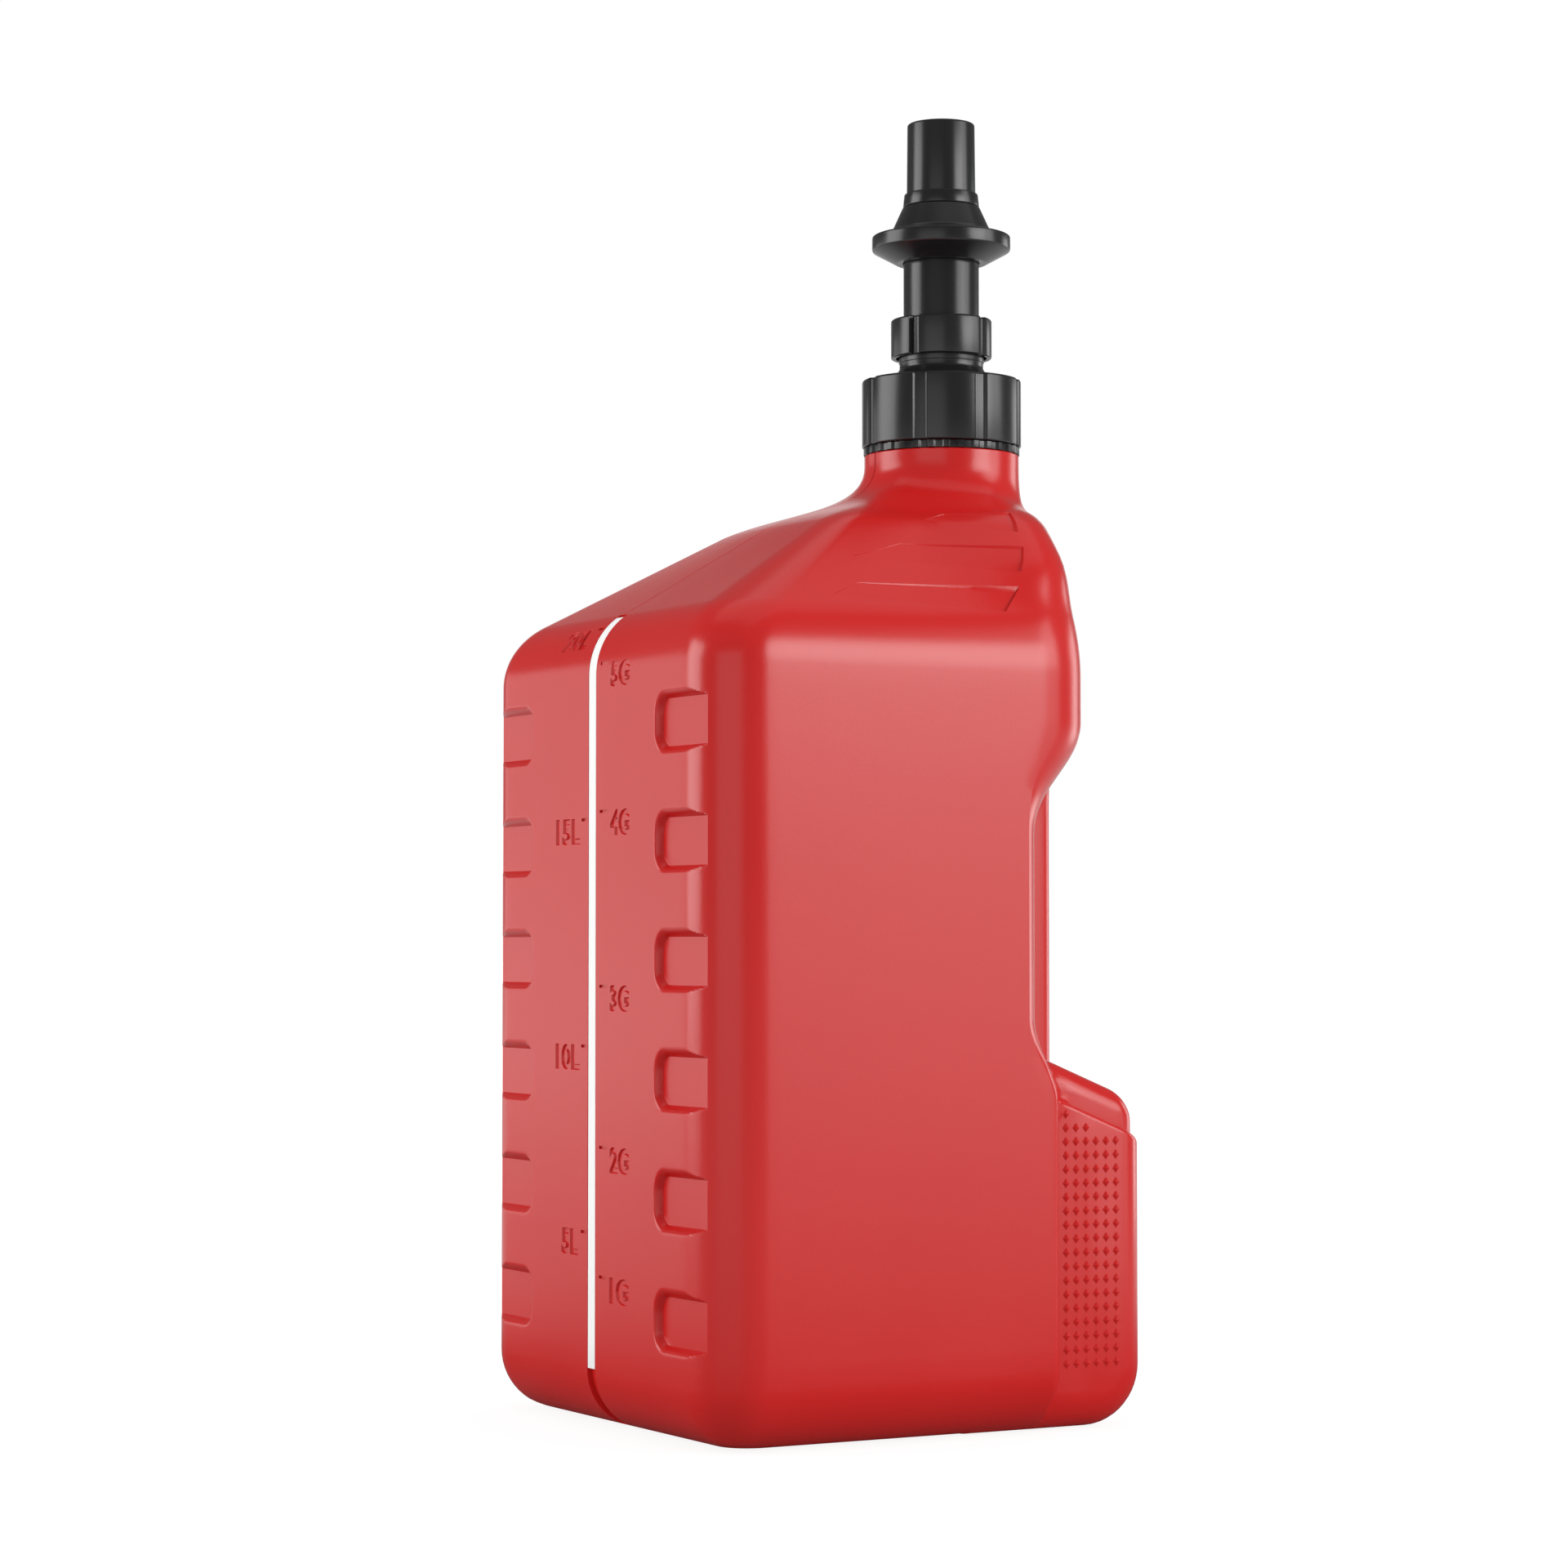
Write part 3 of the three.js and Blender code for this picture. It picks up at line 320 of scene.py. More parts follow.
@dataclass
class CanShell:
    """Tank, shoulder and neck of the blow-moulded can, with the forms pressed into them."""

    half: float = 125.0
    front: float = FRONT_Y
    front_corner: float = 30.0
    front_straight: float = 59.0
    foot: float = 30.0
    bottom_y: float = -10.0
    shoulder_z: float = 388.0
    shoulder_round: float = EDGE_ROUND
    shoulder_slope: float = math.radians(30.0)
    slope_run: float = 98.0
    blend_reach: float = 27.0
    blend_z: float = 458.0
    neck_blend_top: float = 481.8
    neck_r: float = 39.8
    neck_step_z: float = 487.3
    finish_r: float = 36.0
    mouth_z: float = 516.9
    bore_r: float = 30.0
    bore_floor: float = 446.0
    panel_ends: tuple[float, float, float] = (186.0, 173.0, 179.0)
    rear_rounds: tuple[float, float, float] = (6.0, 8.0, 45.0)
    rear_fullness: float = 1.8
    rear_full_from: float = math.radians(-40.0)
    rear_full_to: float = math.radians(10.0)
    full_rise: float = 0.45
    full_fall: float = 0.3
    recess: tuple[float, float, float, float] = (160.0, 200.0, 290.0, 345.0)
    recess_edge: float = 0.8
    groove_half: float = 4.05
    groove_depth: float = 2.3
    groove_foot: float = math.radians(20.0)
    groove_end: float = 0.985
    parting_half: float = 0.6
    parting_depth: float = 0.6
    parting_deep_z: float = 445.0
    parting_deep_run: float = 20.0
    pocket_count: int = 6
    pocket_first: float = 59.0
    pocket_pitch: float = 56.4
    pocket_half: float = 11.9
    pocket_inner: float = 67.6
    pocket_corner: float = 8.0
    pocket_depth: float = 4.5
    pocket_shallow: float = 3.8
    pocket_run: float = 40.0
    pocket_lip: float = 0.3
    pocket_margin: float = 18.0
    pocket_flares: tuple[float, float, float] = (2.7, 4.4, 3.8)
    gill_depth: float = 1.9
    gill_shallow: float = 0.3
    gill_deepening: float = 0.8
    gill_top_share: float = 0.5
    gill_steep: tuple[float, float] = (0.45, 1.0)
    gill_facings: tuple[float, ...] = (math.radians(9.0), math.radians(12.0), math.radians(14.0))
    gill_rear: float = 1.0
    gill_reach: float = 1.3
    gill_steps: int = 26
    gill_rows: int = 8
    gills: tuple[tuple[tuple[float, float], ...], ...] = (
        ((66.7, 409.1), (174.1, 410.5), (162.8, 397.1), (54.6, 402.2)),
        ((86.2, 431.8), (183.5, 431.7), (177.2, 418.1), (51.1, 423.4)),
        ((126.4, 449.5), (189.3, 451.0), (184.8, 439.6), (104.0, 446.0)),
    )

    def columns(self) -> list[Column]:
        """Columns of the right half, close together where the pockets and the groove are."""
        front = [0.0, self.parting_half, 2.2, self.groove_half, 4.25, 4.9, 9.0, 15.0, 22.0, 30.0, 38.0, 46.0,
                 54.0, 59.0, 62.0, 63.6, 64.6, 65.1, 65.5, 65.9, 66.3, 66.7, 67.1, 67.5, 67.9, 68.4, 69.0,
                 69.8, 70.6, 71.5, 72.5, 73.6, 74.8, 76.4, 78.2, 81.0, 85.0, 90.0]
        leaves = math.degrees(math.acos(1.0 - self.pocket_depth / self.front_corner))
        corner = [0.0, 4.0, 8.0, 12.0, 16.0, 20.0, 24.0, 27.0, 29.5, leaves, leaves + 0.8, 35.0, 39.0, 44.0,
                  49.0, 54.0, 60.0, 66.0, 72.0, 78.0, 84.0]
        return ([Column(Zone.FRONT, x) for x in front]
                + [Column(Zone.CORNER, math.radians(a)) for a in corner]
                + [Column(zone, t) for zone, spans in ((Zone.SIDE, 24), (Zone.REAR, 14), (Zone.BOW, 14))
                   for t in spread(0.0, 1.0, spans)[:-1]]
                + [Column(Zone.BOW, 0.996), Column(Zone.BOW, 1.0)])

    def shoulder_line(self) -> list[tuple[float, float, bool]]:
        """Run back, height and whether the groove is there, from the shoulder's edge up to the neck."""
        turn = math.pi / 2.0 - self.shoulder_slope
        foot_z = self.shoulder_z - self.shoulder_round * math.tan(turn / 2.0)
        line = []
        for t in [*spread(0.0, self.groove_end, 16), self.groove_end + 0.001, 1.0]:
            angle = math.pi - turn * t
            line.append((self.shoulder_round * (1.0 + math.cos(angle)),
                         foot_z + self.shoulder_round * math.sin(angle), t <= self.groove_end))
        run, z, _ = line[-1]
        slope_z = z + (self.slope_run - run) * math.tan(self.shoulder_slope)
        for t in spread(0.0, 1.0, 9)[1:-1]:
            line.append((mix(run, self.slope_run, t), mix(z, slope_z, t), False))
        full = self.neck_run()
        for t in spread(0.0, 1.0, 22):
            s = 1.0 - t
            back = s ** 3 * self.slope_run + 3.0 * s * s * t * (self.slope_run + self.blend_reach) \
                + (3.0 * s * t * t + t ** 3) * full
            height = s ** 3 * slope_z + 3.0 * s * t * self.blend_z + t ** 3 * self.neck_blend_top
            line.append((back, height, False))
        return line

    def neck_run(self) -> float:
        """Run from the front face back to the neck."""
        return NECK_Y - self.neck_r - self.front

    def levels(self) -> list[Level]:
        """All level rings, from the middle of the bottom up to the mouth and down the bore."""
        levels = [Level(0.0, 0.0, self.foot, share, 0.0, self.bottom_y) for share in (1.0, 0.7, 0.4, 0.15)]
        for a in sorted([*spread(0.0, math.pi / 2.0, 14), self.groove_foot - 0.004]):
            rise = self.foot * (1.0 - math.cos(a))
            levels.append(Level(rise, rise, self.foot * (1.0 - math.sin(a)), grooved=a >= self.groove_foot))
        line = self.shoulder_line()
        heights = set(spread(self.foot, line[0][1], 28)[1:-1])
        for low, high in (self.recess[:2], self.recess[2:]):
            heights.update(spread(low, high, 12))
        steps = [0.0, 2.5, 4.6, 6.2, 7.4, 8.4, 9.3, 10.1, 10.8, 11.4, 12.0, 12.6, 13.2, 13.8, 14.4, 15.0,
                 15.6, 16.3, 17.4]
        for k in range(self.pocket_count):
            middle = self.pocket_first + k * self.pocket_pitch
            heights = {z for z in heights if abs(z - middle) > self.pocket_margin}
            heights.update(middle + side * s for s in steps for side in (-1.0, 1.0))
        levels += [Level(z, z, grooved=True) for z in sorted(heights) if z < line[0][1] - 0.5]
        full = self.neck_run()
        levels += [Level(z, z, share=back / full, radius=self.neck_r, grooved=cut, parted=not cut)
                   for back, z, cut in line]
        step, mouth, finish, bore = self.neck_step_z, self.mouth_z, self.finish_r, self.bore_r
        neck = [(self.neck_r, step - 2.5), (self.neck_r, step - 0.5), (self.neck_r - 0.4, step), (36.8, step),
                (finish, step + 0.6), (finish, step + 10.5), (finish, step + 20.5), (finish, mouth - 1.1),
                (35.6, mouth - 0.3), (34.9, mouth), (31.0, mouth), (30.3, mouth - 0.3), (bore, mouth - 1.0),
                (bore, 495.0), (bore, 470.0), (bore, self.bore_floor), (15.0, self.bore_floor),
                (0.0, self.bore_floor)]
        return levels + [Level(self.neck_blend_top, z, share=1.0, radius=r, parted=k < 2)
                         for k, (r, z) in enumerate(neck)]

    def recess_shares(self, z: float) -> tuple[float, float]:
        """How far a height has come into the hand recess and out of it again, each from 0 to 1."""
        start, full, wanes, end = self.recess
        return ease((z - start) / (full - start)), ease((z - wanes) / (end - wanes))

    def rear_at(self, z: float) -> tuple[float, float, float]:
        """End of the side panel, rear corner rounding and rearmost place at a height."""
        low, high = self.recess_shares(z)
        flat = [end + rounding for end, rounding in zip(self.panel_ends[:2], self.rear_rounds[:2])]
        end, rounding, rear = (mix(mix(values[0], values[1], low), values[2], high)
                               for values in (self.panel_ends, self.rear_rounds, [*flat, 2.0 * self.half]))
        return self.front + end, rounding, self.front + rear

    def on_outline(self, column: Column, z: float, inset: float) -> Vector:
        """Point of the level outline.

        Args:
            column: Place along the outline.
            z: Height of the outline.
            inset: Distance by which the outline is drawn in.

        Returns:
            X and Y of the point.
        """
        half, front = self.half - inset, self.front + inset
        corner = self.front_corner - min(inset, self.front_corner / 2.0)
        panel_end, rear_round, rear = self.rear_at(z)
        rear_round = max(rear_round - inset, 1.0)
        rear = max(rear - inset, panel_end + rear_round)
        if column.zone is Zone.FRONT:
            x, straight = column.at, self.front_straight
            if x > straight:
                x = mix(straight, half - corner, (x - straight) / (self.half - self.front_corner - straight))
            return Vector((x, front))
        if column.zone is Zone.CORNER:
            return Vector((half - corner + corner * math.sin(column.at),
                           front + corner - corner * math.cos(column.at)))
        if column.zone is Zone.SIDE:
            return Vector((half, mix(front + corner, panel_end, column.at)))
        centre, reach = half - rear_round, rear - panel_end
        bow = (centre * centre + reach * reach - rear_round * rear_round) \
            / (2.0 * max(reach - rear_round, 0.01))
        meet = math.atan2(panel_end - (rear - bow), centre)
        if column.zone is Zone.REAR:
            arc, end = (Vector((centre + rear_round * math.cos(a), panel_end + rear_round * math.sin(a)))
                        for a in (meet * column.at, meet))
            low, high = self.recess_shares(z)
            chord = Vector((half, panel_end)).lerp(end, column.at)
            return arc.lerp(chord, self.recess_edge * (low * (1.0 - high)))
        angle = mix(meet, math.pi / 2.0, column.at)
        return Vector((bow * math.cos(angle), rear - bow + bow * math.sin(angle)))

    def drawn_in(self, spot: Vector, share: float) -> float:
        """Share of the way to the neck, held back behind the neck, where the shoulder is fuller."""
        bearing = math.atan2(spot.y - NECK_Y, abs(spot.x))
        past = (bearing - self.rear_full_from) / (self.rear_full_to - self.rear_full_from)
        held = ease(share / self.full_rise) * ease((1.0 - share) / self.full_fall)
        return share ** mix(1.0, mix(1.0, self.rear_fullness, held), ease(past))

    def place(self, column: Column, level: Level) -> Vector:
        """Point of the tank's outside in one column and level."""
        spot = self.on_outline(column, level.outline, level.inset)
        if level.share > 0.0:
            centre = Vector((0.0, level.centre))
            arm = spot - centre
            spoke = centre + (arm.normalized() * level.radius if arm.length > 0.0 else arm)
            if level.radius > 0.0:
                spoke.x = max(spoke.x, min(spot.x, self.parting_half))
            spot = spot.lerp(spoke, self.drawn_in(spot, level.share) if level.radius > 0.0 else level.share)
        if column.zone in (Zone.FRONT, Zone.CORNER) and self.foot < level.z < self.shoulder_z - 20.0:
            spot.y = max(spot.y, self.front + self.pocket_at(spot.x, level.z))
        if column in MIDDLE:
            spot.x = 0.0
        return Vector((spot.x, spot.y, level.z))

    def pocket_at(self, x: float, z: float) -> float:
        """Depth of the pocketed front at a place."""
        k = min(max(round((z - self.pocket_first) / self.pocket_pitch), 0), self.pocket_count - 1)
        rise = z - self.pocket_first - k * self.pocket_pitch
        aside = max(self.pocket_inner + self.pocket_corner - x, 0.0)
        above = max(abs(rise) - self.pocket_half + self.pocket_corner, 0.0)
        away = math.hypot(aside, above)
        lean = (above / away) ** 2 if away > 0.0 else 0.0
        flare = mix(self.pocket_flares[0], self.pocket_flares[1 if rise > 0.0 else 2], lean)
        inwards = min(max((x - self.pocket_inner) / self.pocket_run, 0.0), 1.0)
        floor = mix(self.pocket_shallow, self.pocket_depth, inwards)
        up_wall = min(max((away - self.pocket_corner + self.pocket_lip) / flare, 0.0), 1.0)
        return floor * (1.0 - up_wall) ** 2.0

    def tank(self) -> BMesh:
        """Tank, shoulder and neck as one closed skin, with pockets, strip groove and parting line."""
        columns, levels = self.columns(), self.levels()
        across, upward = len(columns) - 1, len(levels) - 1
        bm = bmesh.new()
        bmesh.ops.create_grid(bm, x_segments=across, y_segments=upward, size=0.5)
        seat: dict[BMVert, tuple[Column, Level]] = {}
        for v in bm.verts:
            seat[v] = columns[round((v.co.x + 0.5) * across)], levels[round((v.co.y + 0.5) * upward)]
            v.co = self.place(*seat[v])
        bm.normal_update()
        for v, (column, level) in seat.items():
            inward = Vector((0.0, v.normal.y, v.normal.z))
            if inward.length < 0.1 or column.zone not in (Zone.FRONT, Zone.BOW):
                continue
            inward.normalize()
            if column.zone is Zone.FRONT and level.grooved and column.at <= self.groove_half:
                v.co = v.co + inward * self.groove_depth * self.in_sign(v, inward)
            elif v.co.x == 0.0 and level.parted:
                deeper = 1.0 + ease((v.co.z - self.parting_deep_z) / self.parting_deep_run)
                v.co = v.co + inward * self.parting_depth * deeper * self.in_sign(v, inward)
        mirror_over(bm, 0.001)
        return weld(bm)

    def in_sign(self, v: BMVert, normal: Vector) -> float:
        """Sign that turns a face normal inwards, towards the middle of the tank or the neck's axis."""
        on_neck = v.co.z >= self.neck_blend_top - 40.0
        inside = Vector((0.0, NECK_Y, v.co.z)) if on_neck else Vector((0.0, 20.0, 240.0))
        return 1.0 if normal.dot(inside - Vector((0.0, v.co.y, v.co.z))) > 0.0 else -1.0

    def on_shoulder(self, back: float, z: float) -> Vector:
        """Point of the right shoulder above a place on the side panel, at a height."""
        line = self.shoulder_line()
        upper = next(k for k, (_, height, _) in enumerate(line) if height > z)
        (run_a, z_a, _), (run_b, z_b, _) = line[upper - 1], line[upper]
        share = mix(run_a, run_b, (z - z_a) / (z_b - z_a)) / self.neck_run()
        past = max(back - self.panel_ends[2], 0.0)
        bend = self.rear_rounds[2] - math.sqrt(self.rear_rounds[2] ** 2 - past ** 2)
        edge = Vector((self.half - bend, self.front + back))
        axis = Vector((0.0, NECK_Y))
        spot = edge.lerp(axis + (edge - axis).normalized() * self.neck_r, self.drawn_in(edge, share))
        return Vector((spot.x, spot.y, z))

    def shoulder_way(self, back: float, z: float) -> Vector:
        """Way that the right shoulder faces above a place on the side panel, at a height."""
        along = self.on_shoulder(back + 1.0, z) - self.on_shoulder(back - 1.0, z)
        upward = self.on_shoulder(back, z + 1.0) - self.on_shoulder(back, z - 1.0)
        way = along.cross(upward).normalized()
        return way if way.x > 0.0 else -way

    def gill_cutter(self, gill: Sequence[tuple[float, float]], facing: float) -> BMesh:
        """Tool that follows the right shoulder and cuts one gill, shallow in front and deepest at the rear.

        Args:
            gill: Start and end of the upper edge, then end and start of the lower one, as run and height.
            facing: Elevation that the upper wall faces.

        Returns:
            Closed tool.
        """
        start, end, rear_low, front_low = gill
        bm = bmesh.new()
        bmesh.ops.create_cube(bm, size=2.0)
        for axis, steps in ((1, self.gill_steps), (2, self.gill_rows)):
            long = [e for e in bm.edges if abs(e.verts[0].co[axis] - e.verts[1].co[axis]) > 1.0]
            bmesh.ops.subdivide_edges(bm, edges=long, cuts=steps - 1, use_grid_fill=True)
        for v in bm.verts:
            t, w, above = (v.co.y + 1.0) / 2.0, (v.co.z + 1.0) / 2.0, v.co.x > 0.0
            here = [mix(mix(front_low[k], rear_low[k], t), mix(start[k], end[k], t), w) for k in range(2)]
            spot, way = self.on_shoulder(*here), self.shoulder_way(*here)
            along = (self.on_shoulder(here[0] + 1.0, here[1]) - spot).normalized()
            upward = along.cross(way) if along.cross(way).z > 0.0 else way.cross(along)
            steep = min(max(math.asin(way.z) - facing, self.gill_steep[0]), self.gill_steep[1])
            lean = upward * w / math.tan(steep) + (along * self.gill_rear if t > 0.999 else Vector())
            depth = mix(self.gill_shallow, self.gill_depth, t ** self.gill_deepening) \
                * mix(1.0, self.gill_top_share, w)
            v.co = spot + (way + lean) * (self.gill_reach if above else -depth)
        bmesh.ops.triangulate(bm, faces=bm.faces)
        return bm

    def gill_cutters(self) -> BMesh:
        """Tools for the gills of both shoulders."""
        bm = gather([self.gill_cutter(gill, facing) for gill, facing in zip(self.gills, self.gill_facings)])
        mirror_over(bm)
        return weld(bm)


@dataclass
class Heel:
    """Stepped heel behind the tank: a wide skirt up to a crisp ledge and a rounded crown set in above it."""

    half: float = 116.0
    front: float = 25.0
    rear: float = 125.0
    floor: float = 0.05
    rounding: float = 18.0
    foot: float = 30.0
    crown_rounding: float = 12.0
    crown_corner: float = 14.0
    blank: float = 260.0
    top_z: float = 178.5
    top_from: float = 75.0
    fall: float = 0.4
    ledge: float = 3.5
    ledge_drop: float = 19.0
    rim: float = 2.8

    def block(self, inset: float, drop: float, low: float) -> BMesh:
        """Block under a falling plane, open to rounding.

        Args:
            inset: Distance by which its sides and rear are drawn in.
            drop: Distance of its top below the heel's top plane.
            low: Height of its underside.

        Returns:
            The closed block.
        """
        bm, rear = bmesh.new(), self.rear - inset
        bmesh.ops.create_cube(bm, size=1.0)
        bmesh.ops.scale(bm, vec=(2.0 * (self.half - inset), rear - self.front, self.blank), verts=bm.verts)
        bmesh.ops.translate(bm, vec=(0.0, (rear + self.front) / 2.0, low + self.blank / 2.0), verts=bm.verts)
        cut = bmesh.ops.bisect_plane(bm, geom=whole(bm), clear_outer=True, plane_no=(0.0, self.fall, 1.0),
                                     plane_co=(0.0, self.top_from, self.top_z - drop))
        bmesh.ops.edgeloop_fill(bm, edges=[e for e in cut["geom_cut"] if isinstance(e, BMEdge)])
        return bm

    def behind(self, v: BMVert) -> bool:
        """Whether a vertex lies behind the hidden front of a block."""
        return v.co.y > self.front + 1.0

    def upright(self, bm: BMesh) -> list[BMEdge]:
        """Upright edges at the rear of a block."""
        return [e for e in bm.edges if abs(e.verts[0].co.x - e.verts[1].co.x) < 0.01
                and abs(e.verts[0].co.y - e.verts[1].co.y) < 0.01 and self.behind(e.verts[0])]

    def top_way(self) -> Vector:
        """Way that the falling top faces."""
        return Vector((0.0, self.fall, 1.0)).normalized()

    def rim_of(self, bm: BMesh) -> list[BMEdge]:
        """Edges round the top of a block, without the one in front."""
        top = self.top_way()
        bm.normal_update()
        cap = max(bm.faces, key=lambda f: f.normal.dot(top) * f.calc_area())
        return [e for e in cap.edges if any(self.behind(v) for v in e.verts)]

    def skirt(self) -> BMesh:
        """Wide lower part with a crisp rim."""
        bm = self.block(0.0, self.ledge_drop, self.floor)
        under = [e for e in bm.edges if all(v.co.z < self.floor + 0.01 and self.behind(v) for v in e.verts)]
        round_off(bm, under, self.foot, 12)
        top = self.top_way()
        bm.normal_update()
        side = [e for f in bm.faces if abs(f.normal.x) > 0.9 for e in f.edges
                if any(self.behind(v) for v in e.verts)
                and all(g.normal.dot(top) < 0.99 for g in e.link_faces)]
        round_off(bm, side, self.rounding, 10)
        round_off(bm, self.rim_of(bm), self.rim, 4, clamp=True)
        return weld(bm)

    def crown(self) -> BMesh:
        """Rounded upper part, set in from the skirt."""
        bm = self.block(self.ledge, 0.0, self.foot)
        round_off(bm, self.upright(bm), self.crown_corner, 12)
        round_off(bm, self.rim_of(bm), self.crown_rounding, 10)
        return weld(bm)


@dataclass
class GripBar:
    """Upright grip bar behind the hand recess, flared into the back of the shoulder."""

    half: float = 33.0
    front: float = 93.0
    rear: float = 124.9
    corner: float = 11.0
    foot_z: float = 134.0
    root_z: float = 305.0
    top_z: float = 347.0
    root_half: float = 47.0
    root_inset: float = 6.0

    def build(self) -> BMesh:
        """Bar drawn up from a rounded section and widened at its root."""
        bm = bmesh.new()
        bmesh.ops.create_grid(bm, x_segments=1, y_segments=1, size=1.0)
        for v in bm.verts:
            v.co = Vector((v.co.x * self.half, self.front if v.co.y < 0.0 else self.rear, self.foot_z))
        round_off(bm, bm.verts[:], self.corner, 8, "VERTICES", clamp=True)
        heights = [*spread(self.foot_z, self.root_z, 24)[1:], *spread(self.root_z, self.top_z, 12)[1:]]
        face, before, depth = bm.faces[:], 0.0, self.rear - self.front
        for z in heights:
            share = ease((z - self.root_z) / (self.top_z - self.root_z))
            made = bmesh.ops.extrude_face_region(bm, geom=face)["geom"]
            if z > heights[0]:
                bmesh.ops.delete(bm, geom=face, context="FACES_ONLY")
            face = [g for g in made if isinstance(g, BMFace)]
            widen = mix(self.half, self.root_half, share) / mix(self.half, self.root_half, before)
            thin = (depth - self.root_inset * share) / (depth - self.root_inset * before)
            for v in (g for g in made if isinstance(g, BMVert)):
                v.co = Vector((v.co.x * widen, self.front + (v.co.y - self.front) * thin, z))
            before = share
        return weld(bm)


@dataclass(frozen=True)
class Mark:
    """Level mark engraved in the gauge face: its words, its place and how far back it leans."""

    words: str
    left: float
    right: float
    top: float
    lean: float = 0.0


@dataclass
class LevelMarks:
    """Engraved litres on one side of the strip and gallons on the other."""

    front: float = FRONT_Y
    height: float = 12.8
    depth: float = 0.95
    stroke: float = 0.012
    slope: float = 0.035
    tick_height: float = 1.5
    litre_tick: tuple[float, float] = (-5.4, -11.4)
    gallon_tick: tuple[float, float] = (8.2, 16.6)
    marks: tuple[Mark, ...] = (
        Mark("20L", -40.0, -13.0, 392.0, math.radians(33.0)), Mark("15L", -40.0, -13.0, 297.8),
        Mark("10L", -40.0, -13.0, 187.0), Mark("5L", -33.0, -14.5, 96.5),
        *(Mark(words, 19.3, 40.0, top) for words, top in (
            ("5G", 373.6), ("4G", 301.4), ("3G", 216.4), ("2G", 138.4), ("1G", 75.8))))

    def words(self, mark: Mark) -> BMesh:
        """Words of a mark as closed letters with sloping walls, at the font's own size."""
        curve = bpy.data.curves.new("mark", "FONT")
        curve.body = mark.words
        curve.offset = self.stroke
        curve.bevel_depth = self.slope
        curve.bevel_resolution = 0
        curve.resolution_u = 3
        text = bpy.data.objects.new("mark", curve)
        bpy.context.scene.collection.objects.link(text)
        mesh = bpy.data.meshes.new_from_object(text.evaluated_get(bpy.context.evaluated_depsgraph_get()))
        bpy.data.objects.remove(text)
        bm = loaded(mesh)
        bpy.data.meshes.remove(mesh)
        bmesh.ops.remove_doubles(bm, verts=bm.verts, dist=1e-5)
        return bm

    def cutter(self, mark: Mark) -> BMesh:
        """Words and tick of one mark as a closed cutter, through the face."""
        bm = self.words(mark)
        low, high = ([pick(v.co[k] for v in bm.verts) for k in range(2)] for pick in (min, max))
        wide, tall = (mark.right - mark.left) / (high[0] - low[0]), self.height / (high[1] - low[1])
        for v in bm.verts:
            v.co = Vector((mark.left + (v.co.x - low[0]) * wide, (v.co.y - high[1]) * tall,
                           v.co.z / self.slope * self.depth))
        tick = bmesh.ops.create_cube(bm, size=1.0)["verts"]
        near, far = self.gallon_tick if mark.left > 0.0 else self.litre_tick
        bmesh.ops.scale(bm, vec=(abs(far - near), self.tick_height, 2.0 * self.depth), verts=tick)
        bmesh.ops.translate(bm, vec=((near + far) / 2.0, -self.tick_height / 2.0, 0.0), verts=tick)
        for v in bm.verts:
            angle, reach = mark.lean + (v.co.y + self.height / 2.0) / EDGE_ROUND, EDGE_ROUND + v.co.z
            if mark.lean:
                v.co.y = self.front + EDGE_ROUND - reach * math.cos(angle)
                v.co.z = EDGE_Z + reach * math.sin(angle)
            else:
                v.co.y, v.co.z = self.front - v.co.z, mark.top + v.co.y
        return bm

    def cutters(self) -> BMesh:
        """All marks in one mesh of separate closed cutters."""
        joined = gather([self.cutter(mark) for mark in self.marks])
        bmesh.ops.recalc_face_normals(joined, faces=joined.faces)
        return joined


@dataclass
class Knurl:
    """Field of small pyramids on each side of the heel."""

    side: float = 116.0
    first_y: float = 74.6
    first_z: float = 153.5
    pitch_y: float = 5.84
    pitch_z: float = 6.72
    short_rows: tuple[int, ...] = (1, 3)
    full_rows: int = 17
    columns: int = 6
    base: tuple[float, float] = (4.6, 5.5)
    height: float = 1.2
    sunk: float = 0.1

    def build(self) -> BMesh:
        """Pyramids in rows, the first two rows shorter under the falling ledge."""
        bm = bmesh.new()
        sideways = Matrix.Rotation(math.pi / 2.0, 3, "Y")
        for row, count in enumerate((*self.short_rows, *[self.columns] * self.full_rows)):
            for column in range(count):
                made = bmesh.ops.create_cone(bm, cap_ends=True, segments=4, radius1=0.5, radius2=0.0,
                                             depth=self.height)["verts"]
                bmesh.ops.rotate(bm, cent=(0.0, 0.0, 0.0), matrix=sideways, verts=made)
                bmesh.ops.scale(bm, vec=(1.0, *self.base), verts=made)
                bmesh.ops.translate(bm, verts=made, vec=(self.side + self.height / 2.0 - self.sunk,
                                                         self.first_y + column * self.pitch_y,
                                                         self.first_z - row * self.pitch_z))
        mirror_over(bm)
        bmesh.ops.recalc_face_normals(bm, faces=bm.faces)
        return bm


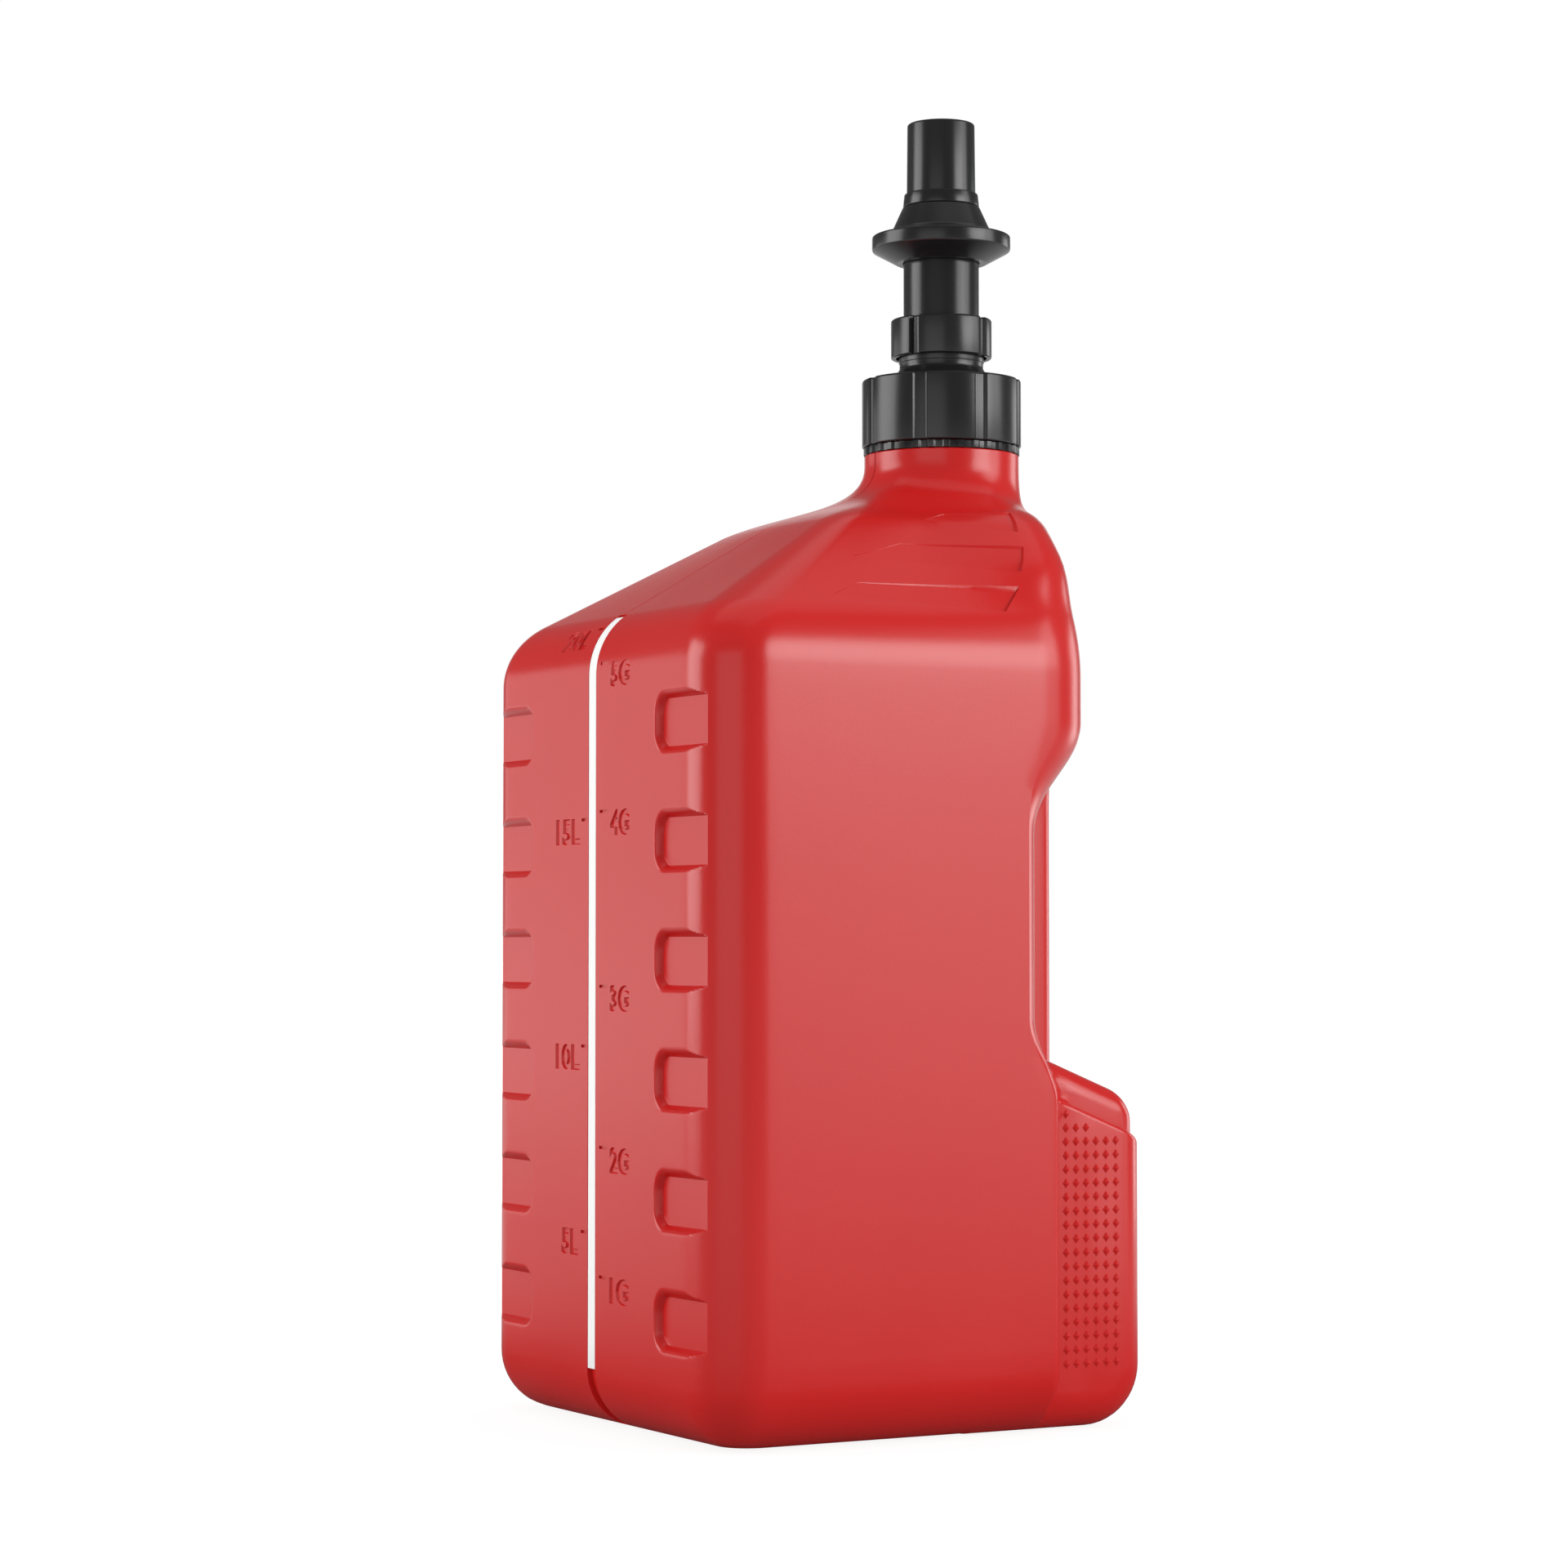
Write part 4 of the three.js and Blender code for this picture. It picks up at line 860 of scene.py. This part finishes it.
def soften(bm: BMesh, where: Callable[[Vector], bool], reach: float, span: float, rounds: int) -> None:
    """Relaxes the mesh along its inner creases, which gives them a moulded fillet.

    Args:
        bm: Mesh to change.
        where: Tells whether a crease at a place is softened.
        reach: Distance from the crease that is relaxed.
        span: Longest edge that is left near the crease.
        rounds: Number of relaxing rounds at each distance.
    """
    bm.normal_update()
    crease = [e for e in bm.edges if e.is_manifold and e.calc_face_angle_signed(0.0) < -0.3
              and where((e.verts[0].co + e.verts[1].co) / 2.0)]
    spots = [e.verts[0].co.lerp(e.verts[1].co, t) for e in crease
             for t in spread(0.0, 1.0, max(1, round(e.calc_length() / 2.0)))]
    tree = KDTree(len(spots))
    for k, spot in enumerate(spots):
        tree.insert(spot, k)
    tree.balance()

    def near(spot: Vector, within: float) -> bool:
        """Whether a place lies within a distance of a crease."""
        return tree.find(spot)[2] < within

    for _ in range(5):
        long = [e for e in bm.edges if e.calc_length() > span
                and any(near(e.verts[0].co.lerp(e.verts[1].co, t), reach) for t in spread(0.0, 1.0, 4))]
        if not long:
            break
        bmesh.ops.subdivide_edges(bm, edges=long, cuts=1, use_grid_fill=True)
        bmesh.ops.triangulate(bm, faces=[f for f in bm.faces if len(f.verts) > 4])
    for share in (1.0, 0.7, 0.45):
        chosen = [v for v in bm.verts if near(v.co, reach * share)]
        for _ in range(rounds):
            bmesh.ops.smooth_vert(bm, verts=chosen, factor=0.5, use_axis_x=True, use_axis_y=True,
                                  use_axis_z=True)


class Assembly:
    """Sub-assembly that lists its finished pieces and dresses them."""

    def pieces(self) -> list[Piece]:
        """Finished pieces, in the order in which they are dressed."""
        raise NotImplementedError

    def dress(self, finishes: dict[Slot, Material]) -> dict[str, Object]:
        """Dresses the pieces and gives them by name."""
        return {piece.name: dress(piece, finishes) for piece in self.pieces()}


@dataclass
class CanBody(Assembly):
    """The whole red can: shell, heel, grip bar, marks, knurl and neck thread."""

    shell: CanShell = field(default_factory=CanShell)
    heel: Heel = field(default_factory=Heel)
    grip: GripBar = field(default_factory=GripBar)
    marks: LevelMarks = field(default_factory=LevelMarks)
    knurl: Knurl = field(default_factory=Knurl)
    thread_pitch: float = 6.0
    thread_turns: float = 2.6
    thread_z: float = 493.8
    thread_flank: float = 0.36
    thread_rise: float = 1.0
    fillet: float = 13.0
    fillet_from_y: float = 40.0
    heel_z: float = 166.0
    bar_top_z: float = 360.0
    seam: float = 4.0
    seam_y: tuple[float, float] = (55.0, 75.0)
    seam_x: float = 100.0

    def at_bar(self, spot: Vector) -> bool:
        """Whether a crease lies round the grip bar and above the heel."""
        return spot.y > self.fillet_from_y and self.heel_z < spot.z < self.bar_top_z

    def at_seam(self, spot: Vector) -> bool:
        """Whether a crease lies where the heel's sides leave the tank."""
        front, rear = self.seam_y
        return front < spot.y < rear and spot.z <= self.heel_z and abs(spot.x) > self.seam_x

    def build(self) -> BMesh:
        """Unites the solid forms, softens their creases and cuts gills and marks."""
        can = raw_object(self.shell.tank(), "can_body")
        rear = raw_object(self.heel.skirt(), "heel_skirt")
        carve(rear, raw_object(self.heel.crown(), "heel_crown"), "UNION")
        carve(rear, raw_object(self.grip.build(), "grip_bar"), "UNION")
        carve(can, rear, "UNION")
        bm = loaded(can.data)
        soften(bm, self.at_bar, self.fillet, 4.0, 12)
        soften(bm, self.at_seam, self.seam, 2.5, 4)
        bmesh.ops.triangulate(bm, faces=bm.faces)
        bm.to_mesh(can.data)
        bm.free()
        for tools in (self.shell.gill_cutters(), self.marks.cutters()):
            carve(can, raw_object(tools, "cutters"), "DIFFERENCE", crossing=True)
        bm = loaded(can.data)
        bpy.data.objects.remove(can)
        return gather([bm, self.knurl.build(), self.thread()])

    def thread(self) -> BMesh:
        """Screw thread on the neck's finish."""
        root, crest = self.shell.finish_r - 0.2, self.shell.finish_r + self.thread_rise
        low, flank = self.thread_z, self.thread_pitch * self.thread_flank
        section = ((root, low), (crest, low + flank * 0.4), (crest, low + flank * 0.6), (root, low + flank))
        return helix(section, self.thread_pitch, self.thread_turns, 96)

    def pieces(self) -> list[Piece]:
        """The can in one piece."""
        return [Piece("can_body", "can", Slot.RED, "can_shell", self.build(), 24.0)]


@dataclass
class SightStrip(Assembly):
    """Milky strip in the groove of the gauge face, bent over the shoulder's edge."""

    front: float = FRONT_Y
    half: float = 3.8
    thick: float = 2.0
    foot_z: float = 30.0
    wrap: float = math.radians(55.0)
    edge: float = 0.35
    straight_steps: int = 24
    bend_steps: int = 20

    def build(self) -> BMesh:
        """Strip bent along the face and thickened inwards."""
        bm = bmesh.new()
        steps = self.straight_steps + self.bend_steps
        bmesh.ops.create_grid(bm, x_segments=2, y_segments=steps, size=0.5)
        for v in bm.verts:
            step = round((v.co.y + 0.5) * steps)
            angle = self.wrap * max(step - self.straight_steps, 0) / self.bend_steps
            z = mix(self.foot_z, EDGE_Z, min(step / self.straight_steps, 1.0)) + EDGE_ROUND * math.sin(angle)
            v.co = Vector((v.co.x * 2.0 * self.half, self.front + EDGE_ROUND * (1.0 - math.cos(angle)), z))
        bmesh.ops.recalc_face_normals(bm, faces=bm.faces)
        bmesh.ops.solidify(bm, geom=bm.faces[:], thickness=self.thick)
        weld(bm)
        if min(v.co.y for v in bm.verts) < self.front - 0.01:
            bmesh.ops.translate(bm, vec=(0.0, self.thick, 0.0), verts=bm.verts)
        rim = [e for e in bm.edges if e.is_manifold and e.calc_face_angle(0.0) > 1.0]
        round_off(bm, rim, self.edge, 2, clamp=True)
        return weld(bm)

    def pieces(self) -> list[Piece]:
        """The strip in one piece."""
        return [Piece("level_strip", "can", Slot.MILKY, "sight_strip", self.build(), 32.0)]


@dataclass(frozen=True)
class Turning:
    """Turned piece: what it is called, what carries it, its profile and the flutes in its outside."""

    name: str
    body: str
    node: str
    profile: Profile
    flutes: Flutes | None = None
    flute_steps: int = 48
    closed: bool = True

    def piece(self) -> Piece:
        """Finished piece."""
        steps = self.flutes.count * self.flute_steps if self.flutes else TURN_STEPS
        bm = turned(self.profile, steps, self.closed)
        if self.flutes:
            self.flutes.press(bm)
        return Piece(self.name, self.body, Slot.BLACK, self.node, bm)


@dataclass
class Spout(Assembly):
    """Pieces turned about the neck's axis. A profile lists its corners by radius, height and rounding."""

    turnings: tuple[Turning, ...] = (
        # Big lobed screw ring with its inward lip on top
        Turning("ring_lobed", "ring", "cap_ring", (
            (37.4, 491.8, 0.5), (41.0, 491.8, 0.7), (41.0, 526.4, 1.3), (28.0, 526.4, 0.6),
            (28.0, 522.9, 0.4), (37.4, 522.9, 0.4)),
            Flutes(8, 38.4, 41.0, 6.0, 1.5, 0.9, math.radians(-2.5))),
        # Castellated band under the ring
        Turning("band_slotted", "can", "lock_band", (
            (37.4, 487.6, 0.2), (40.2, 487.6, 0.3), (40.2, 491.5, 0.3), (37.4, 491.5, 0.2)),
            Flutes(32, 38.4, 40.2, math.pi * 40.2 / 32, 1.2, 0.6), 12),
        # Flanged base with its well, coned dome and threaded collar
        Turning("base_coned", "spout", "spout_base", (
            (22.55, 519.3, 0.3), (36.4, 519.3, 0.4), (36.4, 522.6, 0.5), (27.2, 522.6, 0.3),
            (27.2, 527.0, 1.2), (23.9, 529.0, 2.4), (21.6, 532.4, 0.8), (21.6, 535.5, 0.2),
            (22.0, 535.5, 0.2), (22.0, 550.0, 0.4), (19.85, 550.0, 0.3), (19.85, 525.4, 0.2),
            (22.55, 525.4, 0.2))),
        # Gland nut with lobes parted by flutes
        Turning("nut_lobed", "nut", "gland_nut", (
            (23.4, 538.0, 0.4), (26.0, 538.0, 0.8), (26.0, 558.0, 1.2), (19.85, 558.0, 0.5),
            (19.85, 554.9, 0.3), (23.4, 554.9, 0.3)),
            Flutes(4, 24.2, 26.0, 5.0, 2.4, 0.9, math.radians(25.0))),
        # Slide tube with its stop foot
        Turning("tube_sliding", "nozzle", "slide_tube", (
            (18.1, 522.1, 0.3), (22.2, 522.1, 0.4), (22.2, 525.1, 0.4), (19.5, 525.1, 0.3),
            (19.5, 612.5, 0.2), (18.1, 612.5, 0.2))),
        # Stop flange: cone below, upright rim and cone above
        Turning("flange_coned", "nozzle", "stop_flange", (
            (19.8, 587.5, 0.3), (23.4, 587.5, 0.6), (35.75, 594.2, 0.8), (35.75, 601.3, 0.8),
            (25.7, 603.8, 1.6), (19.9, 616.5, 0.5), (18.05, 616.5, 0.2), (18.05, 612.8, 0.2),
            (19.8, 612.8, 0.2))),
        # Small collar that narrows a little upwards
        Turning("collar_small", "nozzle", "collar_ring", (
            (18.05, 616.8, 0.2), (19.7, 616.8, 0.5), (19.0, 623.5, 0.7), (18.05, 623.5, 0.2))),
        # Tip tube with a rounded mouth and the valve's seat
        Turning("tip_tube", "nozzle", "nozzle_tube", (
            (15.75, 593.5, 0.2), (17.75, 593.5, 0.2), (17.75, 623.5, 0.0), (17.4, 660.0, 1.6),
            (15.75, 660.0, 0.5), (15.75, 650.0, 0.2), (10.5, 650.0, 0.3), (10.5, 647.0, 0.3),
            (15.75, 647.0, 0.2))),
        # Poppet head with a shallow dish in its face
        Turning("poppet_head", "spout", "valve_head", (
            (0.0, 652.4, 0.0), (14.4, 652.4, 0.5), (14.4, 656.4, 0.8), (9.5, 656.4, 0.6),
            (8.6, 655.4, 0.6), (0.0, 655.4, 0.0)), closed=False),
    )

    def pieces(self) -> list[Piece]:
        """All turned pieces."""
        return [turning.piece() for turning in self.turnings]


@dataclass
class Spring(Assembly):
    """Return spring in the neck, which shortens as the nozzle is pushed down."""

    radius: float = 16.6
    wire: float = 1.8
    turns: float = 11.0
    low: float = 491.5
    high: float = 593.2
    travel: float = 24.0

    def pieces(self) -> list[Piece]:
        """Spring of round wire."""
        half = self.wire / 2.0
        ring = [(self.radius + half * math.cos(a), self.low + half * (1.0 + math.sin(a)))
                for a in spread(0.0, FULL_TURN, 12)[:-1]]
        wound = helix(ring, (self.high - self.low - self.wire) / self.turns, self.turns, 48)
        return [Piece("spring_wound", "spout", Slot.STEEL, "return_spring", wound, 60.0)]

    def dress(self, finishes: dict[Slot, Material]) -> dict[str, Object]:
        """Dresses the spring and gives it a mesh of its own."""
        dressed = super().dress(finishes)
        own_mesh(dressed["spring_wound"])
        return dressed


class Wiring:
    """Short hand for the nodes of one tree."""

    def __init__(self, tree: NodeTree) -> None:
        """Starts with an empty tree."""
        self.tree = tree
        tree.nodes.clear()

    def add(self, kind: str, inputs: dict[str | int, object] | None = None, **own: object) -> Node:
        """Adds a node.

        Args:
            kind: Type of the node.
            inputs: For each input, its value or the output that is linked to it.
            own: Properties of the node itself.

        Returns:
            The new node.
        """
        node = self.tree.nodes.new(kind)
        for name, value in own.items():
            setattr(node, name, value)
        for name, value in (inputs or {}).items():
            if isinstance(value, NodeSocket):
                self.tree.links.new(value, node.inputs[name])
            else:
                node.inputs[name].default_value = value
        return node


def grain_group() -> NodeTree:
    """Shared effect: fine moulded grain and slow clouds of tone.

    Returns:
        A group with the inputs Vector, Grain and Cloud, and the outputs Height and Tone.
    """
    group = bpy.data.node_groups.new("moulded_grain", "ShaderNodeTree")
    for name, way, kind in (("Vector", "INPUT", "Vector"), ("Grain", "INPUT", "Float"),
                            ("Cloud", "INPUT", "Float"), ("Height", "OUTPUT", "Float"),
                            ("Tone", "OUTPUT", "Float")):
        group.interface.new_socket(name, in_out=way, socket_type="NodeSocket" + kind)
    wires = Wiring(group)
    source = wires.add("NodeGroupInput").outputs
    fine = wires.add("ShaderNodeTexNoise", {"Vector": source["Vector"], "Scale": source["Grain"],
                                            "Detail": 3.0, "Roughness": 0.6})
    slow = wires.add("ShaderNodeTexNoise", {"Vector": source["Vector"], "Scale": source["Cloud"],
                                            "Detail": 4.0})
    wires.add("NodeGroupOutput", {"Height": fine.outputs["Fac"], "Tone": slow.outputs["Fac"]})
    return group


@dataclass(frozen=True)
class Finish:
    """Finish on the shared grain: moulded plastic or rubber, or metal with the grain drawn into lines."""

    name: str
    colour: tuple[float, float, float]
    roughness: tuple[float, float]
    faded: tuple[float, float, float] | None = None
    grain: float = 1400.0
    cloud: float = 14.0
    relief: float = 0.00006
    strength: float = 0.25
    specular: float = 0.5
    metallic: float = 0.0
    lines: tuple[float, float, float] | None = None

    def material(self, group: NodeTree) -> Material:
        """Material of the finish. Clouds set its tone and gloss, or on metal the lines set its gloss."""
        made = bpy.data.materials.new(self.name)
        made.use_nodes = True
        wires = Wiring(made.node_tree)
        place = wires.add("ShaderNodeTexCoord").outputs["Object"]
        if self.lines:
            place = wires.add("ShaderNodeMapping", {"Vector": place, "Scale": self.lines}).outputs["Vector"]
        grain = wires.add("ShaderNodeGroup", {"Vector": place, "Grain": self.grain, "Cloud": self.cloud},
                          node_tree=group).outputs
        base: object = (*self.colour, 1.0)
        if self.faded:
            base = wires.add("ShaderNodeMix", {0: grain["Tone"], 6: base, 7: (*self.faded, 1.0)},
                             data_type="RGBA").outputs[2]
        gloss = wires.add("ShaderNodeMapRange", {"Value": grain["Height" if self.lines else "Tone"],
                                                 "To Min": self.roughness[0], "To Max": self.roughness[1]})
        bump = wires.add("ShaderNodeBump", {"Strength": self.strength, "Distance": self.relief,
                                            "Height": grain["Height"]})
        shader = wires.add("ShaderNodeBsdfPrincipled", {
            "Base Color": base, "Roughness": gloss.outputs["Result"], "Normal": bump.outputs["Normal"],
            "Metallic": self.metallic, "Specular IOR Level": self.specular})
        wires.add("ShaderNodeOutputMaterial", {"Surface": shader.outputs["BSDF"]})
        return made


FINISHES = {
    Slot.RED: Finish("red_polyethylene", (0.56, 0.0100, 0.0090), (0.20, 0.27), (0.60, 0.0135, 0.0120),
                     grain=900.0, relief=0.0001, strength=0.4),
    Slot.MILKY: Finish("milky_polyethylene", (0.93, 0.93, 0.92), (0.40, 0.50), (0.96, 0.96, 0.95),
                       cloud=30.0, strength=0.15),
    Slot.BLACK: Finish("black_satin_plastic", (0.0105, 0.0105, 0.0115), (0.21, 0.28),
                       (0.0150, 0.0150, 0.0160), grain=1800.0, relief=0.00004),
    Slot.RUBBER: Finish("seal_rubber_matt", (0.012, 0.012, 0.012), (0.62, 0.75), (0.02, 0.02, 0.02),
                        specular=0.3),
    Slot.STEEL: Finish("drawn_steel", (0.62, 0.63, 0.65), (0.24, 0.38), grain=3.0, cloud=0.2, relief=0.00002,
                       strength=0.2, metallic=1.0, lines=(900.0, 900.0, 60.0)),
}


@dataclass(frozen=True)
class Softbox:
    """Soft lamp: where it stands, how wide and tall it looks from the can, and its brightness as seen."""

    name: str
    bearing: float
    rise: float
    wide: float
    tall: float
    radiance: float
    distance: float = 3.0

    def lamp(self, aim: Vector) -> Object:
        """Lamp that faces a place."""
        data = bpy.data.lights.new(self.name, "AREA")
        data.shape = "RECTANGLE"
        data.size, data.size_y = (2.0 * self.distance * math.tan(math.radians(a) / 2.0)
                                  for a in (self.wide, self.tall))
        data.energy = self.radiance * math.pi * data.size * data.size_y
        way, up = math.radians(self.bearing), math.radians(self.rise)
        arm = Vector((math.cos(way) * math.cos(up), math.sin(way) * math.cos(up), math.sin(up)))
        obj = bpy.data.objects.new(self.name, data)
        obj.location = aim + arm * self.distance
        obj.rotation_euler = arm.to_track_quat("Z", "Y").to_euler()
        bpy.context.scene.collection.objects.link(obj)
        return obj


@dataclass
class Studio:
    """Camera, lamps, pale floor and white background."""

    lens: float = 88.87
    sensor: float = 36.0
    eye: tuple[float, float, float] = (1.69299, -0.97256, 0.23741)
    pitch: float = math.radians(92.33)
    bearing: float = math.radians(60.567)
    middle: tuple[float, float, float] = (0.0, 0.0, 0.25)
    ambient: float = 0.65
    gloss_ambient: float = 0.15
    behind: tuple[float, float, float] = (-0.867, 0.498, 0.0)
    behind_limits: tuple[float, float] = (0.925, 0.968)
    floor_size: float = 40.0
    floor_drop: float = 0.0004
    floor_tone: float = 0.16
    floor_bounce: float = 0.32
    floor_lift: float = 0.89
    floor_mirrored: float = 0.5
    floor_near: float = 0.6
    floor_far: float = 2.5
    lamps: tuple[Softbox, ...] = (
        Softbox("left_softbox", -118.0, 14.0, 32.0, 34.0, 4.1),
        Softbox("far_left_softbox", -153.0, 3.0, 34.0, 22.0, 0.85),
        Softbox("front_fill", -47.0, 7.0, 44.0, 30.0, 0.75),
        Softbox("right_softbox", 31.0, 8.0, 20.0, 34.0, 1.9),
        Softbox("right_side", 53.0, 8.0, 24.0, 34.0, 1.1),
        Softbox("right_strip", 31.0, 17.0, 26.0, 20.0, 4.3),
        Softbox("right_high", 53.0, 23.0, 20.0, 28.0, 2.4),
        Softbox("rear_softbox", 102.0, 4.0, 18.0, 26.0, 2.2),
        Softbox("top_softbox", 110.0, 80.0, 60.0, 60.0, 0.35),
    )

    def camera(self) -> None:
        """Places the camera."""
        data = bpy.data.cameras.new("camera")
        data.lens, data.sensor_width, data.clip_end = self.lens, self.sensor, 200.0
        eye = bpy.data.objects.new("camera", data)
        eye.location, eye.rotation_euler = self.eye, (self.pitch, 0.0, self.bearing)
        bpy.context.scene.collection.objects.link(eye)
        bpy.context.scene.camera = eye

    def light(self) -> None:
        """Sets up the softboxes."""
        for lamp in self.lamps:
            LOG.info("lamp %s", lamp.lamp(Vector(self.middle)).name)

    def seen(self, wires: Wiring, direct: NodeSocket | float, mirrored: NodeSocket,
             fallen: float) -> NodeSocket:
        """Brightness for each kind of ray.

        Args:
            wires: Tree that gets the nodes.
            direct: Brightness for rays from the camera and through glass.
            mirrored: Brightness for rays from a gloss.
            fallen: Brightness for light that falls on the object.

        Returns:
            The brightness for the ray at hand.
        """
        path = wires.add("ShaderNodeLightPath").outputs
        straight = wires.add("ShaderNodeMath", {0: path["Is Camera Ray"], 1: path["Is Transmission Ray"]},
                             operation="MAXIMUM")
        gloss = wires.add("ShaderNodeMix", {0: path["Is Glossy Ray"], 2: fallen, 3: mirrored})
        shown = wires.add("ShaderNodeMix", {0: straight.outputs[0], 2: gloss.outputs[0], 3: direct})
        return shown.outputs[0]

    def rising(self, wires: Wiring, value: NodeSocket, limits: tuple[float, float],
               reach: tuple[float, float]) -> NodeSocket:
        """Smooth rise between two numbers while a value goes from one limit to the other."""
        return wires.add("ShaderNodeMapRange", {
            "Value": value, "From Min": limits[0], "From Max": limits[1], "To Min": reach[0],
            "To Max": reach[1]}, interpolation_type="SMOOTHSTEP").outputs["Result"]

    def backdrop(self) -> None:
        """White background that lights the object at the ambient level and shows in its gloss from behind."""
        world = bpy.data.worlds.new("studio")
        world.use_nodes = True
        bpy.context.scene.world = world
        wires = Wiring(world.node_tree)
        way = wires.add("ShaderNodeTexCoord").outputs["Generated"]
        facing = wires.add("ShaderNodeVectorMath", {0: way, 1: self.behind}, operation="DOT_PRODUCT")
        rear = self.rising(wires, facing.outputs["Value"], self.behind_limits, (self.gloss_ambient, 1.0))
        white = wires.add("ShaderNodeBackground", {"Color": (1.0, 1.0, 1.0, 1.0),
                                                   "Strength": self.seen(wires, 1.0, rear, self.ambient)})
        wires.add("ShaderNodeOutputWorld", {"Surface": white.outputs[0]})

    def floor(self) -> None:
        """Pale floor that keeps a soft shadow and runs out into the white background."""
        bm = bmesh.new()
        bmesh.ops.create_grid(bm, x_segments=1, y_segments=1, size=self.floor_size)
        bmesh.ops.translate(bm, vec=(0.0, 0.0, -self.floor_drop), verts=bm.verts)
        floor = raw_object(bm, "floor")
        made = bpy.data.materials.new("pale_floor")
        made.use_nodes = True
        wires = Wiring(made.node_tree)
        place, near = wires.add("ShaderNodeTexCoord").outputs["Object"], self.floor_near
        away = wires.add("ShaderNodeVectorMath", {0: place}, operation="LENGTH").outputs["Value"]
        shown = self.rising(wires, away, (near, self.floor_far), (self.floor_lift, 1.0))
        mirrored = self.rising(wires, away, (0.6 * near, 1.4 * near), (0.0, self.floor_mirrored))
        matt = wires.add("ShaderNodeBsdfDiffuse", {"Color": (*[self.floor_tone] * 3, 1.0)})
        strength = self.seen(wires, shown, mirrored, self.floor_bounce)
        lift = wires.add("ShaderNodeEmission", {"Strength": strength})
        both = wires.add("ShaderNodeAddShader", {0: matt.outputs[0], 1: lift.outputs[0]})
        wires.add("ShaderNodeOutputMaterial", {"Surface": both.outputs[0]})
        floor.data.materials.append(made)

    def build(self) -> None:
        """Sets the whole studio up."""
        bpy.context.scene.view_settings.view_transform = "Standard"
        self.camera()
        self.light()
        self.backdrop()
        self.floor()


def dress_nodes(finishes: dict[Slot, Material], shown: Sequence[str]) -> None:
    """Gives the frame nodes that stay in view their finish.

    Args:
        finishes: Material of each record slot.
        shown: Names of the nodes.
    """
    slots = {part["node"]: Slot(part["material_slot"]) for part in frame["record"]["subparts"]}
    for name in shown:
        node = frame["nodes"][name]
        node.data.materials.clear()
        node.data.materials.append(finishes[slots[name]])
        LOG.info("%s keeps its solid", name)


def main() -> None:
    """Builds every sub-assembly in order and sets up the studio."""
    logging.basicConfig(level=logging.INFO, format="%(name)s: %(message)s")
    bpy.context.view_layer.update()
    grain = grain_group()
    finishes = {slot: finish.material(grain) for slot, finish in FINISHES.items()}
    for assembly in (CanBody(), SightStrip(), Spout(), Spring()):
        assembly.dress(finishes)
    dress_nodes(finishes, ("neck_gasket", "slip_washer", "gland_seal", "stem_cage", "stem_nut", "valve_stem",
                           "valve_seal", "spring_seat"))
    Studio().build()


if __name__ == "__main__":
    main()
